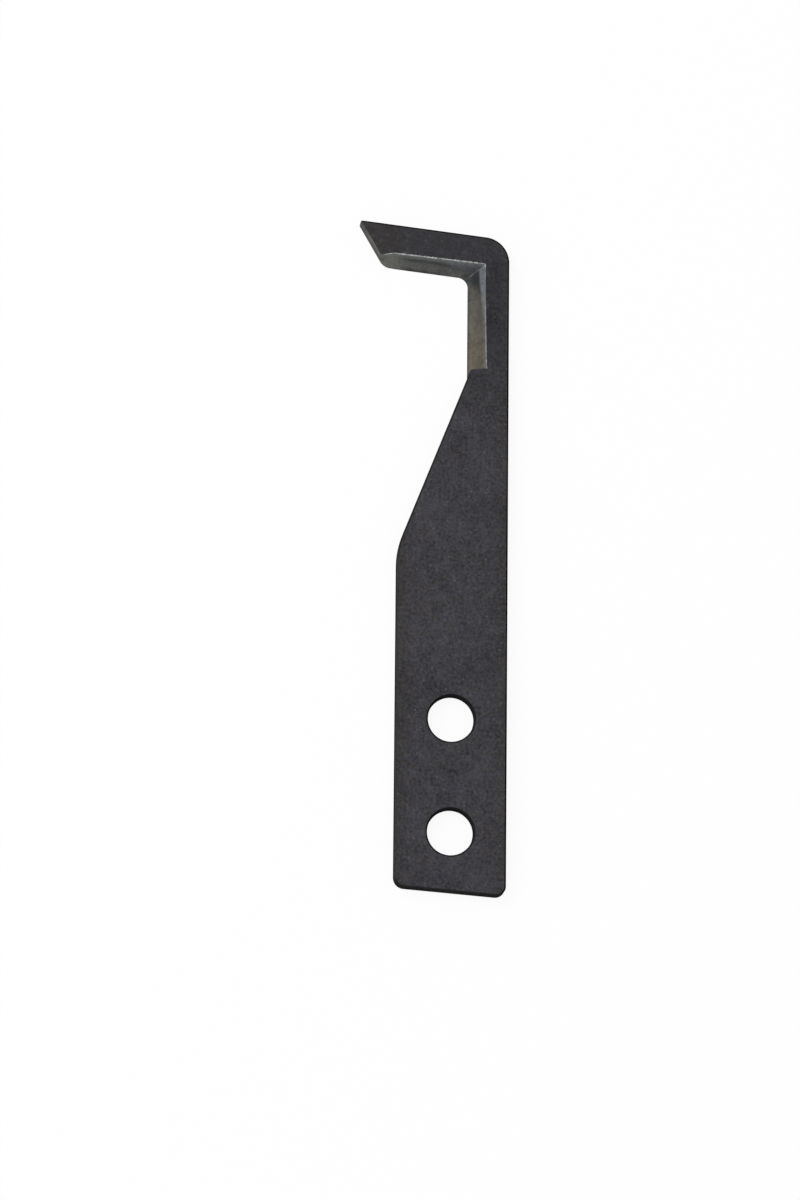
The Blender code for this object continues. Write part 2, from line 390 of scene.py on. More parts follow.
class ShaderBuilder(NodeBuilder):
    """Builds one procedural material round a Principled shader."""

    def __init__(self, name: str, metallic: float, specular: float) -> None:
        """Starts the material.

        Args:
            name: The material's name.
            metallic: How far the surface is bare metal, from 0 to 1.
            specular: Strength of the plain gloss of what isn't metal.
        """
        self.material = bpy.data.materials.new(name)
        self.material.use_nodes = True
        super().__init__(self.material.node_tree)
        self.tree.nodes.clear()
        gloss = {"Metallic": metallic, "Specular IOR Level": specular}
        self.shader = self.add("ShaderNodeBsdfPrincipled", gloss)
        output = self.add("ShaderNodeOutputMaterial")
        self.tree.links.new(self.shader.outputs["BSDF"], output.inputs["Surface"])
        self.place = self.add("ShaderNodeTexCoord").outputs["Object"]
        self.split = self.add("ShaderNodeSeparateXYZ", {0: self.place})

    @property
    def x(self) -> bpy.types.NodeSocket:
        """The place across the shank."""
        return self.split.outputs[0]

    @property
    def y(self) -> bpy.types.NodeSocket:
        """The place along the shank."""
        return self.split.outputs[1]

    @property
    def z(self) -> bpy.types.NodeSocket:
        """The height over the back."""
        return self.split.outputs[2]

    def stretched(self, scale: Triple, turn: float = 0.0) -> bpy.types.NodeSocket:
        """Object coordinates turned about Z and then stretched.

        Args:
            scale: How much the pattern is packed along each axis.
            turn: The turn about Z.

        Returns:
            The socket that gives the coordinates.
        """
        node = self.add("ShaderNodeMapping", {"Vector": self.place, "Rotation": (0.0, 0.0, turn)})
        return self.vector("MULTIPLY", node.outputs[0], scale)

    def noise(self, size: float, detail: float = 2.0, place: Any = None,
              shift: float = 0.0) -> bpy.types.NodeSocket:
        """Smooth noise, from 0 to 1.

        Args:
            size: How large its features are.
            detail: How much finer noise is laid over it.
            place: Coordinates, or None for plain Object coordinates.
            shift: A place in the fourth dimension, for noise of its own.

        Returns:
            The socket that gives the noise.
        """
        inputs = {"Vector": place or self.place, "W": shift, "Scale": 1.0 / size, "Detail": detail,
                  "Roughness": NOISE_ROUGHNESS}
        return self.add("ShaderNodeTexNoise", inputs, noise_dimensions="4D").outputs[0]

    def mix(self, share: Any, first: Any, second: Any) -> bpy.types.NodeSocket:
        """One colour fading into another.

        Args:
            share: How much of the second colour shows.
            first: The first colour or socket.
            second: The second colour or socket.

        Returns:
            The socket that gives the colour.
        """
        node = self.add("ShaderNodeMix", {0: share}, data_type="RGBA")
        for key, value in ((6, first), (7, second)):
            if isinstance(value, bpy.types.NodeSocket):
                self.tree.links.new(value, node.inputs[key])
            else:
                node.inputs[key].default_value = (*value, 1.0)
        return node.outputs[2]

    def tones(self, value: Any, stops: Tones) -> bpy.types.NodeSocket:
        """A colour read off a row of tones.

        Args:
            value: Where to read, from 0 to 1.
            stops: Places and their colours, in order.

        Returns:
            The socket that gives the colour.
        """
        node = self.add("ShaderNodeValToRGB", {0: value})
        elements = node.color_ramp.elements
        while len(elements) < len(stops):
            elements.new(1.0)
        for element, (place, colour) in zip(elements, stops):
            element.position = place
            element.color = (*colour, 1.0)
        return node.outputs[0]

    def factor(self, mask: Any, full: float) -> bpy.types.NodeSocket:
        """A factor that is 1 where a mask is 0, and has its full value where the mask is 1."""
        return self.math("MULTIPLY_ADD", mask, full - 1.0, 1.0)

    def specks(self, dots: Specks) -> bpy.types.NodeSocket:
        """A mask of small scattered dots.

        Args:
            dots: How large and how many the dots are.

        Returns:
            The socket that gives the mask, 1 on a dot.
        """
        cells = self.add("ShaderNodeTexVoronoi", {"Vector": self.place, "Scale": 1.0 / dots.spacing})
        drawn = self.add("ShaderNodeSeparateColor", {0: cells.outputs["Color"]}).outputs[0]
        chosen = self.math("LESS_THAN", drawn, dots.share)
        dot = self.between(cells.outputs["Distance"], dots.radius, dots.radius * dots.core)
        return self.product(dot, chosen)

    def finish(self, colour: Any, roughness: Any, height: Any, depth: float) -> bpy.types.Material:
        """Links colour, roughness and bump to the shader.

        Args:
            colour: The base colour's socket.
            roughness: The roughness socket.
            height: The socket of the bump's height, from 0 to 1.
            depth: How deep the bump is.

        Returns:
            The finished material.
        """
        bump = self.add("ShaderNodeBump", {"Height": height, "Distance": depth, "Strength": 1.0})
        for name, source in (("Base Color", colour), ("Roughness", roughness), ("Normal", bump.outputs[0])):
            self.tree.links.new(source, self.shader.inputs[name])
        return self.material


@dataclass(frozen=True)
class OxideFace:
    """Matte black oxide on the flat faces: grain, clouds, pale specks, browner margins, a small dent and
    painted shade.
    """

    plan: BladePlan
    metallic: float = 0.6
    specular: float = 0.25
    dark: Colour = (0.0040, 0.0037, 0.0046)
    light: Colour = (0.0692, 0.0672, 0.0758)
    tone_span: Span = (0.20, 0.80)
    grain_size: float = 0.50 * MM
    mottle_size: float = 1.6 * MM
    mottle: float = 0.45
    cloud_size: float = 9.0 * MM
    clouds: float = 0.22
    line_span: Span = (-1.0 * MM, 1.5 * MM)
    arm_contrast: float = 0.65
    hook_span: Span = (60.0 * MM, 80.0 * MM)
    # Painted shade over the hook.
    painted_hook_shade: float = 0.72
    tint_size: float = 0.8 * MM
    tint_span: Span = (0.35, 0.65)
    warm: Colour = (1.05, 1.01, 0.93)
    cool: Colour = (0.945, 0.98, 1.12)
    brown: Colour = (1.02, 0.965, 0.865)
    brown_margin: float = 1.3 * MM
    brown_shank_margin: float = 3.4 * MM
    patch_size: float = 6.0 * MM
    patch_span: Span = (0.40, 0.66)
    shank_patches: float = 0.35
    hook_patches: float = 0.15
    speck: Colour = (0.120, 0.122, 0.128)
    specks: Specks = Specks(1.3 * MM, 0.17, 0.60)
    speck_strength: float = 0.5
    scuff_size: float = 1.3 * MM
    scuff_span: Span = (0.54, 0.70)
    scuff: float = 0.45
    # Painted shade towards the shank's sides, by the belly and beside the leg's bevel.
    margin_reach: float = 4.5 * MM
    painted_margin_shade: float = 0.91
    belly_reach: float = 4.0 * MM
    painted_belly_shade: float = 0.92
    leg_reach: float = 6.0 * MM
    leg_shade: float = 0.72
    dent: Triple = (0.25 * MM, 0.0, 0.0)
    dent_side: Triple = (0.37, 0.93, 0.0)
    dent_radius: float = 0.75 * MM
    dent_rim: float = 0.42 * MM
    dent_fade: float = 0.6
    painted_dent_shade: float = 0.34
    smudge_reach: float = 4.5 * MM
    smudge_shade: float = 0.90
    roughness: float = 0.42
    grain_roughness: float = 0.25
    bump_depth: float = 0.012 * MM

    def dent_masks(self, made: ShaderBuilder) -> tuple[bpy.types.NodeSocket, bpy.types.NodeSocket]:
        """The side of the round dent's rim where shade is painted, and the smudge round the dent.

        Args:
            made: The finish being built.

        Returns:
            Two masks, 1 on the rim and 1 in the middle of the smudge.
        """
        parts = made.add("ShaderNodeSeparateXYZ", {0: made.vector("SUBTRACT", made.place, self.dent)})
        flat = made.add("ShaderNodeCombineXYZ", {0: parts.outputs[0], 1: parts.outputs[1]}).outputs[0]
        distance = made.vector("LENGTH", flat)
        off_the_rim = made.math("ABSOLUTE", made.math("SUBTRACT", distance, self.dent_radius))
        ring = made.between(off_the_rim, self.dent_rim, 0.0)
        # Painted shade: only the side of the dent's rim turned from the light is darkened; the same mask also
        # dents the bump.
        turned_away = made.vector("DOT_PRODUCT", flat, self.dent_side)
        painted_shade_side = made.between(turned_away, 0.0, self.dent_radius * self.dent_fade)
        smudge = made.between(distance, self.smudge_reach, self.dent_radius)
        return made.product(ring, painted_shade_side), smudge

    def tone(self, made: ShaderBuilder, grain: Any, arm: Any) -> bpy.types.NodeSocket:
        """How light the oxide is before it has a colour: grain, mottling and clouds, calmer on the arm.

        Args:
            made: The finish being built.
            grain: The fine grain's socket.
            arm: The mask of the arm.

        Returns:
            The socket that gives the tone, from 0 to 1.
        """
        mottle = made.noise(self.mottle_size, detail=3.0, shift=4.0)
        clouds = made.noise(self.cloud_size, detail=2.0, shift=7.0)
        tone = made.math("MULTIPLY_ADD", made.centred(mottle), self.mottle, grain)
        tone = made.math("MULTIPLY_ADD", made.centred(clouds), self.clouds, tone)
        return made.math("MULTIPLY_ADD", made.centred(tone), made.factor(arm, self.arm_contrast), 0.5)

    def tint(self, made: ShaderBuilder, colour: Any, hook: Any, shank: Any) -> bpy.types.NodeSocket:
        """The colour with cool and warm spots, browner at the margins and in patches.

        Args:
            made: The finish being built.
            colour: The colour's socket.
            hook: The mask of the hook.
            shank: The mask of the shank.

        Returns:
            The socket that gives the tinted colour.
        """
        side = self.plan.spine_x
        spots = made.between(made.noise(self.tint_size, detail=2.0, shift=11.0), *self.tint_span)
        colour = made.vector("MULTIPLY", colour, made.mix(spots, self.warm, self.cool))
        from_the_middle = made.math("ABSOLUTE", made.x)
        margin = made.between(from_the_middle, side - self.brown_margin, side)
        shank_margin = made.between(from_the_middle, side - self.brown_shank_margin, side)
        margin = made.math("MAXIMUM", margin, made.product(shank_margin, shank))
        patches = made.between(made.noise(self.patch_size, detail=2.0, shift=9.0), *self.patch_span)
        amount = made.math("MULTIPLY_ADD", hook, self.hook_patches - self.shank_patches, self.shank_patches)
        brown = made.math("MAXIMUM", margin, made.product(patches, amount))
        return made.vector("MULTIPLY", colour, made.mix(brown, NO_TINT, self.brown))

    def shade(self, made: ShaderBuilder, hook: Any, shank: Any, below_the_arm: Any) -> bpy.types.NodeSocket:
        """How bright the face is: painted shade dims it on the hook, at the shank's sides and beside the
        bevel, with scuffs.

        Args:
            made: The finish being built.
            hook: The mask of the hook.
            shank: The mask of the shank.
            below_the_arm: The mask of everything from the arm down.

        Returns:
            The socket that gives the factor for the colour.
        """
        side, belly_x, line_x = self.plan.spine_x, self.plan.belly_x, self.plan.face_throat.x
        scuffs = made.between(made.noise(self.scuff_size, detail=3.0, shift=17.0), *self.scuff_span)
        near_the_side = made.between(made.math("ABSOLUTE", made.x), side - self.margin_reach, side)
        by_the_belly = made.between(made.x, belly_x + self.belly_reach, belly_x)
        beside_the_line = made.between(made.x, line_x + self.leg_reach, line_x)
        # Painted shade: dimmer on the hook, at the sides, by the belly and beside the bevel; the scuffs are
        # real wear.
        return made.product(
            made.factor(hook, self.painted_hook_shade),
            made.math("ADD", made.product(scuffs, hook, self.scuff), 1.0),
            made.factor(made.product(near_the_side, shank), self.painted_margin_shade),
            made.factor(made.product(by_the_belly, shank), self.painted_belly_shade),
            made.factor(made.product(hook, beside_the_line, below_the_arm), self.leg_shade),
        )

    def material(self) -> bpy.types.Material:
        """Builds the finish.

        Returns:
            The material.
        """
        made = ShaderBuilder("black_oxide_face", self.metallic, self.specular)
        low, high = (self.plan.face_throat.y + step for step in self.line_span)
        hook = made.between(made.y, *self.hook_span)
        shank = made.between(made.y, *reversed(self.hook_span))
        grain = made.noise(self.grain_size, detail=4.0)
        tone = self.tone(made, grain, made.between(made.y, low, high))
        colour = made.tones(tone, tuple(zip(self.tone_span, (self.dark, self.light))))
        colour = self.tint(made, colour, hook, shank)
        colour = made.mix(made.product(made.specks(self.specks), self.speck_strength), colour, self.speck)
        dent, smudge = self.dent_masks(made)
        shade = made.product(
            self.shade(made, hook, shank, made.between(made.y, high, low)),
            made.factor(dent, self.painted_dent_shade),
            made.factor(smudge, self.smudge_shade),
        )
        roughness = made.math("MULTIPLY_ADD", grain, self.grain_roughness, self.roughness)
        height = made.math("SUBTRACT", grain, dent)
        return made.finish(made.scaled(colour, shade), roughness, height, self.bump_depth)


@dataclass(frozen=True)
class OxideEdge:
    """Deeper, flatter black on the broken rims, the sheared sides or the bores."""

    name: str
    dark: Colour
    light: Colour
    tone_span: Span = (0.3, 0.72)
    grain_size: float = 0.35 * MM
    streak_size: float = 0.3 * MM
    streak_stretch: Triple = (1.0, 1.0, 0.12)
    streak_share: float = 0.5
    roughness: float = 0.62
    grain_roughness: float = 0.2
    bump_depth: float = 0.015 * MM

    def material(self) -> bpy.types.Material:
        """Builds the finish.

        Returns:
            The material.
        """
        made = ShaderBuilder(self.name, metallic=0.0, specular=0.0)
        grain = made.noise(self.grain_size, detail=3.0)
        upright = made.stretched(self.streak_stretch)
        streaks = made.noise(self.streak_size, detail=2.0, place=upright, shift=2.0)
        tone = made.product(grain, 1.0 - self.streak_share)
        tone = made.math("MULTIPLY_ADD", streaks, self.streak_share, tone)
        colour = made.tones(tone, tuple(zip(self.tone_span, (self.dark, self.light))))
        roughness = made.math("MULTIPLY_ADD", grain, self.grain_roughness, self.roughness)
        return made.finish(colour, roughness, tone, self.bump_depth)


@dataclass(frozen=True)
class GroundSteel:
    """Bare steel from the grinding wheel, with tones across the bevel and fine lines along it."""

    name: str
    plan: BladePlan
    tones: Tones
    stretch: Triple
    turn: float
    metallic: float = 0.85
    specular: float = 0.3
    blotch_size: float = 1.5 * MM
    blotch_reach: float = 0.20
    line_size: float = 0.14 * MM
    line_shade: float = 0.40
    grain_size: float = 0.35 * MM
    grain_shade: float = 0.88
    cloud_size: float = 2.4 * MM
    cloud_shade: float = 0.88
    least_shade: float = -0.08
    pits: Specks = Specks(1.1 * MM, 0.34, 0.55)
    small_pits: Specks = Specks(0.66 * MM, 0.34, 0.60)
    pit_shade: float = 0.74
    glints: Specks = Specks(0.77 * MM, 0.28, 0.45)
    glint_shade: float = 1.28
    roughness: float = 0.34
    line_roughness: float = 0.25
    bump_depth: float = 0.008 * MM

    def lift(self, made: ShaderBuilder) -> Any:
        """How far the tones are moved down the bevel, as a share of its height."""
        return 0.0

    def start(self) -> tuple[ShaderBuilder, Any, Any, Any]:
        """Begins the finish.

        Returns:
            The builder, the colour's socket, the share of the bevel's height and the fine lines' socket.
        """
        made = ShaderBuilder(self.name, self.metallic, self.specular)
        lines = made.noise(self.line_size, detail=3.0, place=made.stretched(self.stretch, self.turn))
        blotches = made.noise(self.blotch_size, detail=3.0, shift=6.0)
        across = made.math("DIVIDE", made.z, self.plan.thickness)
        wavy = made.math("MULTIPLY_ADD", made.centred(blotches), self.blotch_reach, across)
        wavy = made.math("ADD", wavy, self.lift(made))
        return made, made.tones(wavy, self.tones), across, lines

    def shaded(self, made: ShaderBuilder, colour: Any, lines: Any) -> bpy.types.Material:
        """Lays the fine lines, grain, clouds, pits and glints over the colour, and closes the finish.

        Args:
            made: The finish being built.
            colour: The colour's socket.
            lines: The fine lines' socket.

        Returns:
            The finished material.
        """
        grain = made.noise(self.grain_size, detail=3.0, shift=12.0)
        clouds = made.noise(self.cloud_size, detail=2.0, shift=15.0)
        shade = made.math("MULTIPLY_ADD", lines, self.line_shade, self.least_shade)
        shade = made.math("MULTIPLY_ADD", grain, self.grain_shade, shade)
        shade = made.math("MULTIPLY_ADD", clouds, self.cloud_shade, shade)
        pits = made.math("MAXIMUM", made.specks(self.pits), made.specks(self.small_pits))
        glints = made.specks(self.glints)
        shade = made.product(shade, made.factor(pits, self.pit_shade), made.factor(glints, self.glint_shade))
        roughness = made.math("MULTIPLY_ADD", lines, self.line_roughness, self.roughness)
        height = made.math("SUBTRACT", lines, pits)
        return made.finish(made.scaled(colour, shade), roughness, height, self.bump_depth)


@dataclass(frozen=True)
class ArmSteel(GroundSteel):
    """The arm's bevel: paler and bluer in the corner over the throat, with a painted highlight along the
    crease on the mitre.
    """

    throat_lift: float = 0.13
    throat_lift_along: Span = (6.5 * MM, 1.0 * MM)
    shadow: Colour = (0.042, 0.045, 0.043)
    shadow_across: Span = (0.45, 0.15)
    shadow_along: Span = (1.6 * MM, 0.4 * MM)
    corner_tones: Tones = (
        (0.46, (0.062, 0.065, 0.068)),
        (0.57, (0.068, 0.072, 0.076)),
        (0.67, (0.080, 0.084, 0.090)),
        (0.76, (0.092, 0.097, 0.104)),
        (0.85, (0.115, 0.121, 0.129)),
        (0.93, (0.140, 0.147, 0.156)),
    )
    corner_off_mitre: Span = (4.2 * MM, 2.0 * MM)
    corner_across: Span = (0.38, 0.50)
    # Painted highlight along the mitre's small rounded crease.
    crease_highlight: Colour = (0.118, 0.125, 0.131)
    crease_off_mitre: Span = (0.26 * MM, 0.078 * MM)
    crease_from: Span = (0.14, 0.26)
    crease_until: Span = (0.80, 0.62)
    nose: Colour = (0.128, 0.131, 0.118)
    nose_share: float = 0.8
    nose_before_end: Span = (5.0 * MM, 1.2 * MM)
    belt_share: float = 0.65
    belt_before_end: Span = (7.6 * MM, 3.0 * MM)
    belt_from: Span = (0.12, 0.24)
    belt_until: Span = (0.60, 0.46)

    def distance(self, made: ShaderBuilder, direction: Vector) -> bpy.types.NodeSocket:
        """The distance from the throat in one flat direction."""
        offset = made.vector("SUBTRACT", made.place, (*self.plan.throat, 0.0))
        return made.vector("DOT_PRODUCT", offset, (*direction, 0.0))

    def before_end(self, made: ShaderBuilder, along: Any, distances: Span) -> bpy.types.NodeSocket:
        """A mask that sets in at one distance before the arm's nose and is full at another."""
        return made.between(along, *(self.plan.arm_edge_length - distance for distance in distances))

    def lift(self, made: ShaderBuilder) -> Any:
        """How far the tones are moved down the bevel, as a share of its height: more towards the throat."""
        along = self.distance(made, self.plan.along_arm)
        return made.product(made.between(along, *self.throat_lift_along), self.throat_lift)

    def material(self) -> bpy.types.Material:
        """Builds the finish.

        Returns:
            The material.
        """
        made, colour, across, lines = self.start()
        mitre = (self.plan.face_throat - self.plan.throat).normalized()
        off_mitre = self.distance(made, turned(mitre, math.pi / 2))
        along = self.distance(made, self.plan.along_arm)
        low = made.product(made.between(across, *self.shadow_across), made.between(along, *self.shadow_along))
        colour = made.mix(low, colour, self.shadow)
        corner = made.between(off_mitre, *self.corner_off_mitre)
        corner = made.product(corner, made.between(across, *self.corner_across))
        colour = made.mix(corner, colour, made.tones(across, self.corner_tones))
        # Painted highlight along the mitre's crease.
        crease_highlight = made.product(
            made.between(off_mitre, *self.crease_off_mitre),
            made.between(across, *self.crease_from),
            made.between(across, *self.crease_until),
        )
        colour = made.mix(crease_highlight, colour, self.crease_highlight)
        belt = made.product(
            made.between(across, *self.belt_from),
            made.between(across, *self.belt_until),
            self.before_end(made, along, self.belt_before_end),
            self.belt_share,
        )
        nose = made.math("MAXIMUM", self.before_end(made, along, self.nose_before_end), belt)
        colour = made.mix(made.product(nose, self.nose_share), colour, self.nose)
        return self.shaded(made, colour, lines)


@dataclass(frozen=True)
class LegSteel(GroundSteel):
    """The leg's bevel: warm grey, its warmth partly a painted reflection, with a painted shadow under the
    mitre and a second facet, the strip, whose pale bluish colour is a painted reflection.
    """

    uneven_size: float = 0.8 * MM
    shadow: Colour = (0.0222, 0.0245, 0.0268)
    shadow_low: float = 0.85 * MM
    shadow_slant: float = 2.6 * MM
    shadow_uneven: float = 1.2 * MM
    shadow_edge: Span = (0.85 * MM, -0.85 * MM)
    shadow_from: Span = (-0.03, 0.07)
    weaker_across: Span = (0.35, 0.60)
    weaker: float = 0.88
    tail: float = 0.25
    tail_down: Span = (5.0 * MM, 2.5 * MM)
    tail_across: Span = (0.20, 0.50)
    # Painted warm reflection, growing down the leg.
    warm_reflection: Colour = (1.04, 0.98, 0.88)
    warm_reflection_down: Span = (6.0 * MM, 14.0 * MM)
    edge_shade: float = 0.83
    edge_across: Span = (0.40, 0.12)
    edge_from: Span = (1.5 * MM, 3.0 * MM)
    edge_until: Span = (7.5 * MM, 4.5 * MM)
    # The strip is a real second facet; these colours are its painted reflection.
    strip_reflection: Colour = (0.117, 0.124, 0.134)
    strip_low: Colour = (0.118, 0.121, 0.121)
    strip_low_down: Span = (1.5 * MM, 4.5 * MM)
    strip_uneven: float = 0.06
    strip_edge: Span = (-0.09, 0.07)
    strip_end_uneven: float = 6.0 * MM
    strip_until: Span = (8.2 * MM, 4.4 * MM)

    def shadow_mask(self, made: ShaderBuilder, across: Any, down: Any, uneven: Any) -> bpy.types.NodeSocket:
        """The shadow under the mitre, with the weak tail that it trails down the leg.

        Args:
            made: The finish being built.
            across: The share of the bevel's height.
            down: The distance below the throat.
            uneven: Noise that swings round 0.

        Returns:
            The socket that gives the mask.
        """
        ends = made.math("MULTIPLY_ADD", across, self.shadow_slant, self.shadow_low)
        past_it = made.math("SUBTRACT", made.math("MULTIPLY_ADD", uneven, self.shadow_uneven, down), ends)
        shadow = made.product(
            made.between(past_it, *self.shadow_edge),
            made.between(across, *self.shadow_from),
            made.factor(made.between(across, *self.weaker_across), self.weaker),
        )
        tail = made.product(made.between(down, *self.tail_down), made.between(across, *self.tail_across))
        return made.math("MAXIMUM", shadow, made.product(tail, self.tail))

    def strip_mask(self, made: ShaderBuilder, across: Any, down: Any, uneven: Any) -> bpy.types.NodeSocket:
        """The second facet along the face line, which fades out down the leg, where its pale bluish
        reflection is painted.

        Args:
            made: The finish being built.
            across: The share of the bevel's height.
            down: The distance below the throat.
            uneven: Noise that swings round 0.

        Returns:
            The socket that gives the mask.
        """
        begins = made.math("MULTIPLY_ADD", down, self.plan.strip_slant, self.plan.strip_start)
        begins = made.math("MULTIPLY_ADD", uneven, self.strip_uneven, begins)
        strip_reflection = made.between(made.math("SUBTRACT", across, begins), *self.strip_edge)
        fades = made.math("MULTIPLY_ADD", uneven, self.strip_end_uneven, down)
        return made.product(strip_reflection, made.between(fades, *self.strip_until))

    def material(self) -> bpy.types.Material:
        """Builds the finish.

        Returns:
            The material.
        """
        made, colour, across, lines = self.start()
        down = made.math("SUBTRACT", self.plan.throat.y, made.y)
        uneven = made.centred(made.noise(self.uneven_size, detail=3.0, shift=21.0))
        # Painted warm reflection, stronger down the leg.
        warm_reflection = made.mix(made.between(down, *self.warm_reflection_down), NO_TINT, self.warm_reflection)
        colour = made.vector("MULTIPLY", colour, warm_reflection)
        colour = made.mix(self.shadow_mask(made, across, down, uneven), colour, self.shadow)
        by_the_edge = made.product(
            made.between(down, *self.edge_until),
            made.between(across, *self.edge_across),
            made.between(down, *self.edge_from),
        )
        colour = made.scaled(colour, made.factor(by_the_edge, self.edge_shade))
        # The strip is a real second facet; its pale bluish colour is a painted reflection.
        strip_reflection = made.mix(made.between(down, *self.strip_low_down), self.strip_reflection, self.strip_low)
        colour = made.mix(self.strip_mask(made, across, down, uneven), colour, strip_reflection)
        return self.shaded(made, colour, lines)


@dataclass(frozen=True)
class EndSteel(GroundSteel):
    """The arm's end face: black below, ground where the light catches it, and dimmer towards the tip."""

    tip_reach: float = 3.6 * MM
    tip_shade: float = 0.48

    def material(self) -> bpy.types.Material:
        """Builds the finish.

        Returns:
            The material.
        """
        made, colour, _, lines = self.start()
        near_the_tip = made.between(made.y, self.plan.tip.y - self.tip_reach, self.plan.tip.y)
        return self.shaded(made, made.scaled(colour, made.factor(near_the_tip, self.tip_shade)), lines)


@dataclass(frozen=True)
class BrightBurr:
    """The thin torn edge along the face line, worn bright in uneven stretches."""

    plan: BladePlan
    metallic: float = 0.85
    specular: float = 0.3
    dark: Colour = (0.110, 0.115, 0.116)
    light: Colour = (0.410, 0.420, 0.422)
    tone_span: Span = (0.36, 0.62)
    patch_size: float = 0.8 * MM
    patch_share: float = 0.6
    grain_size: float = 0.2 * MM
    leg_reach: float = 2.0 * MM
    leg_shade: float = 0.49
    roughness: float = 0.28
    grain_roughness: float = 0.2
    bump_depth: float = 0.01 * MM

    def material(self) -> bpy.types.Material:
        """Builds the finish.

        Returns:
            The material.
        """
        made = ShaderBuilder("bright_burr", self.metallic, self.specular)
        patches = made.noise(self.patch_size, detail=3.0, shift=3.0)
        grain = made.noise(self.grain_size, detail=2.0, shift=5.0)
        tone = made.product(patches, self.patch_share)
        tone = made.math("MULTIPLY_ADD", grain, 1.0 - self.patch_share, tone)
        colour = made.tones(tone, tuple(zip(self.tone_span, (self.dark, self.light))))
        on_the_leg = made.between(made.y, self.plan.throat.y, self.plan.throat.y - self.leg_reach)
        colour = made.scaled(colour, made.factor(on_the_leg, self.leg_shade))
        roughness = made.math("MULTIPLY_ADD", grain, self.grain_roughness, self.roughness)
        return made.finish(colour, roughness, grain, self.bump_depth)


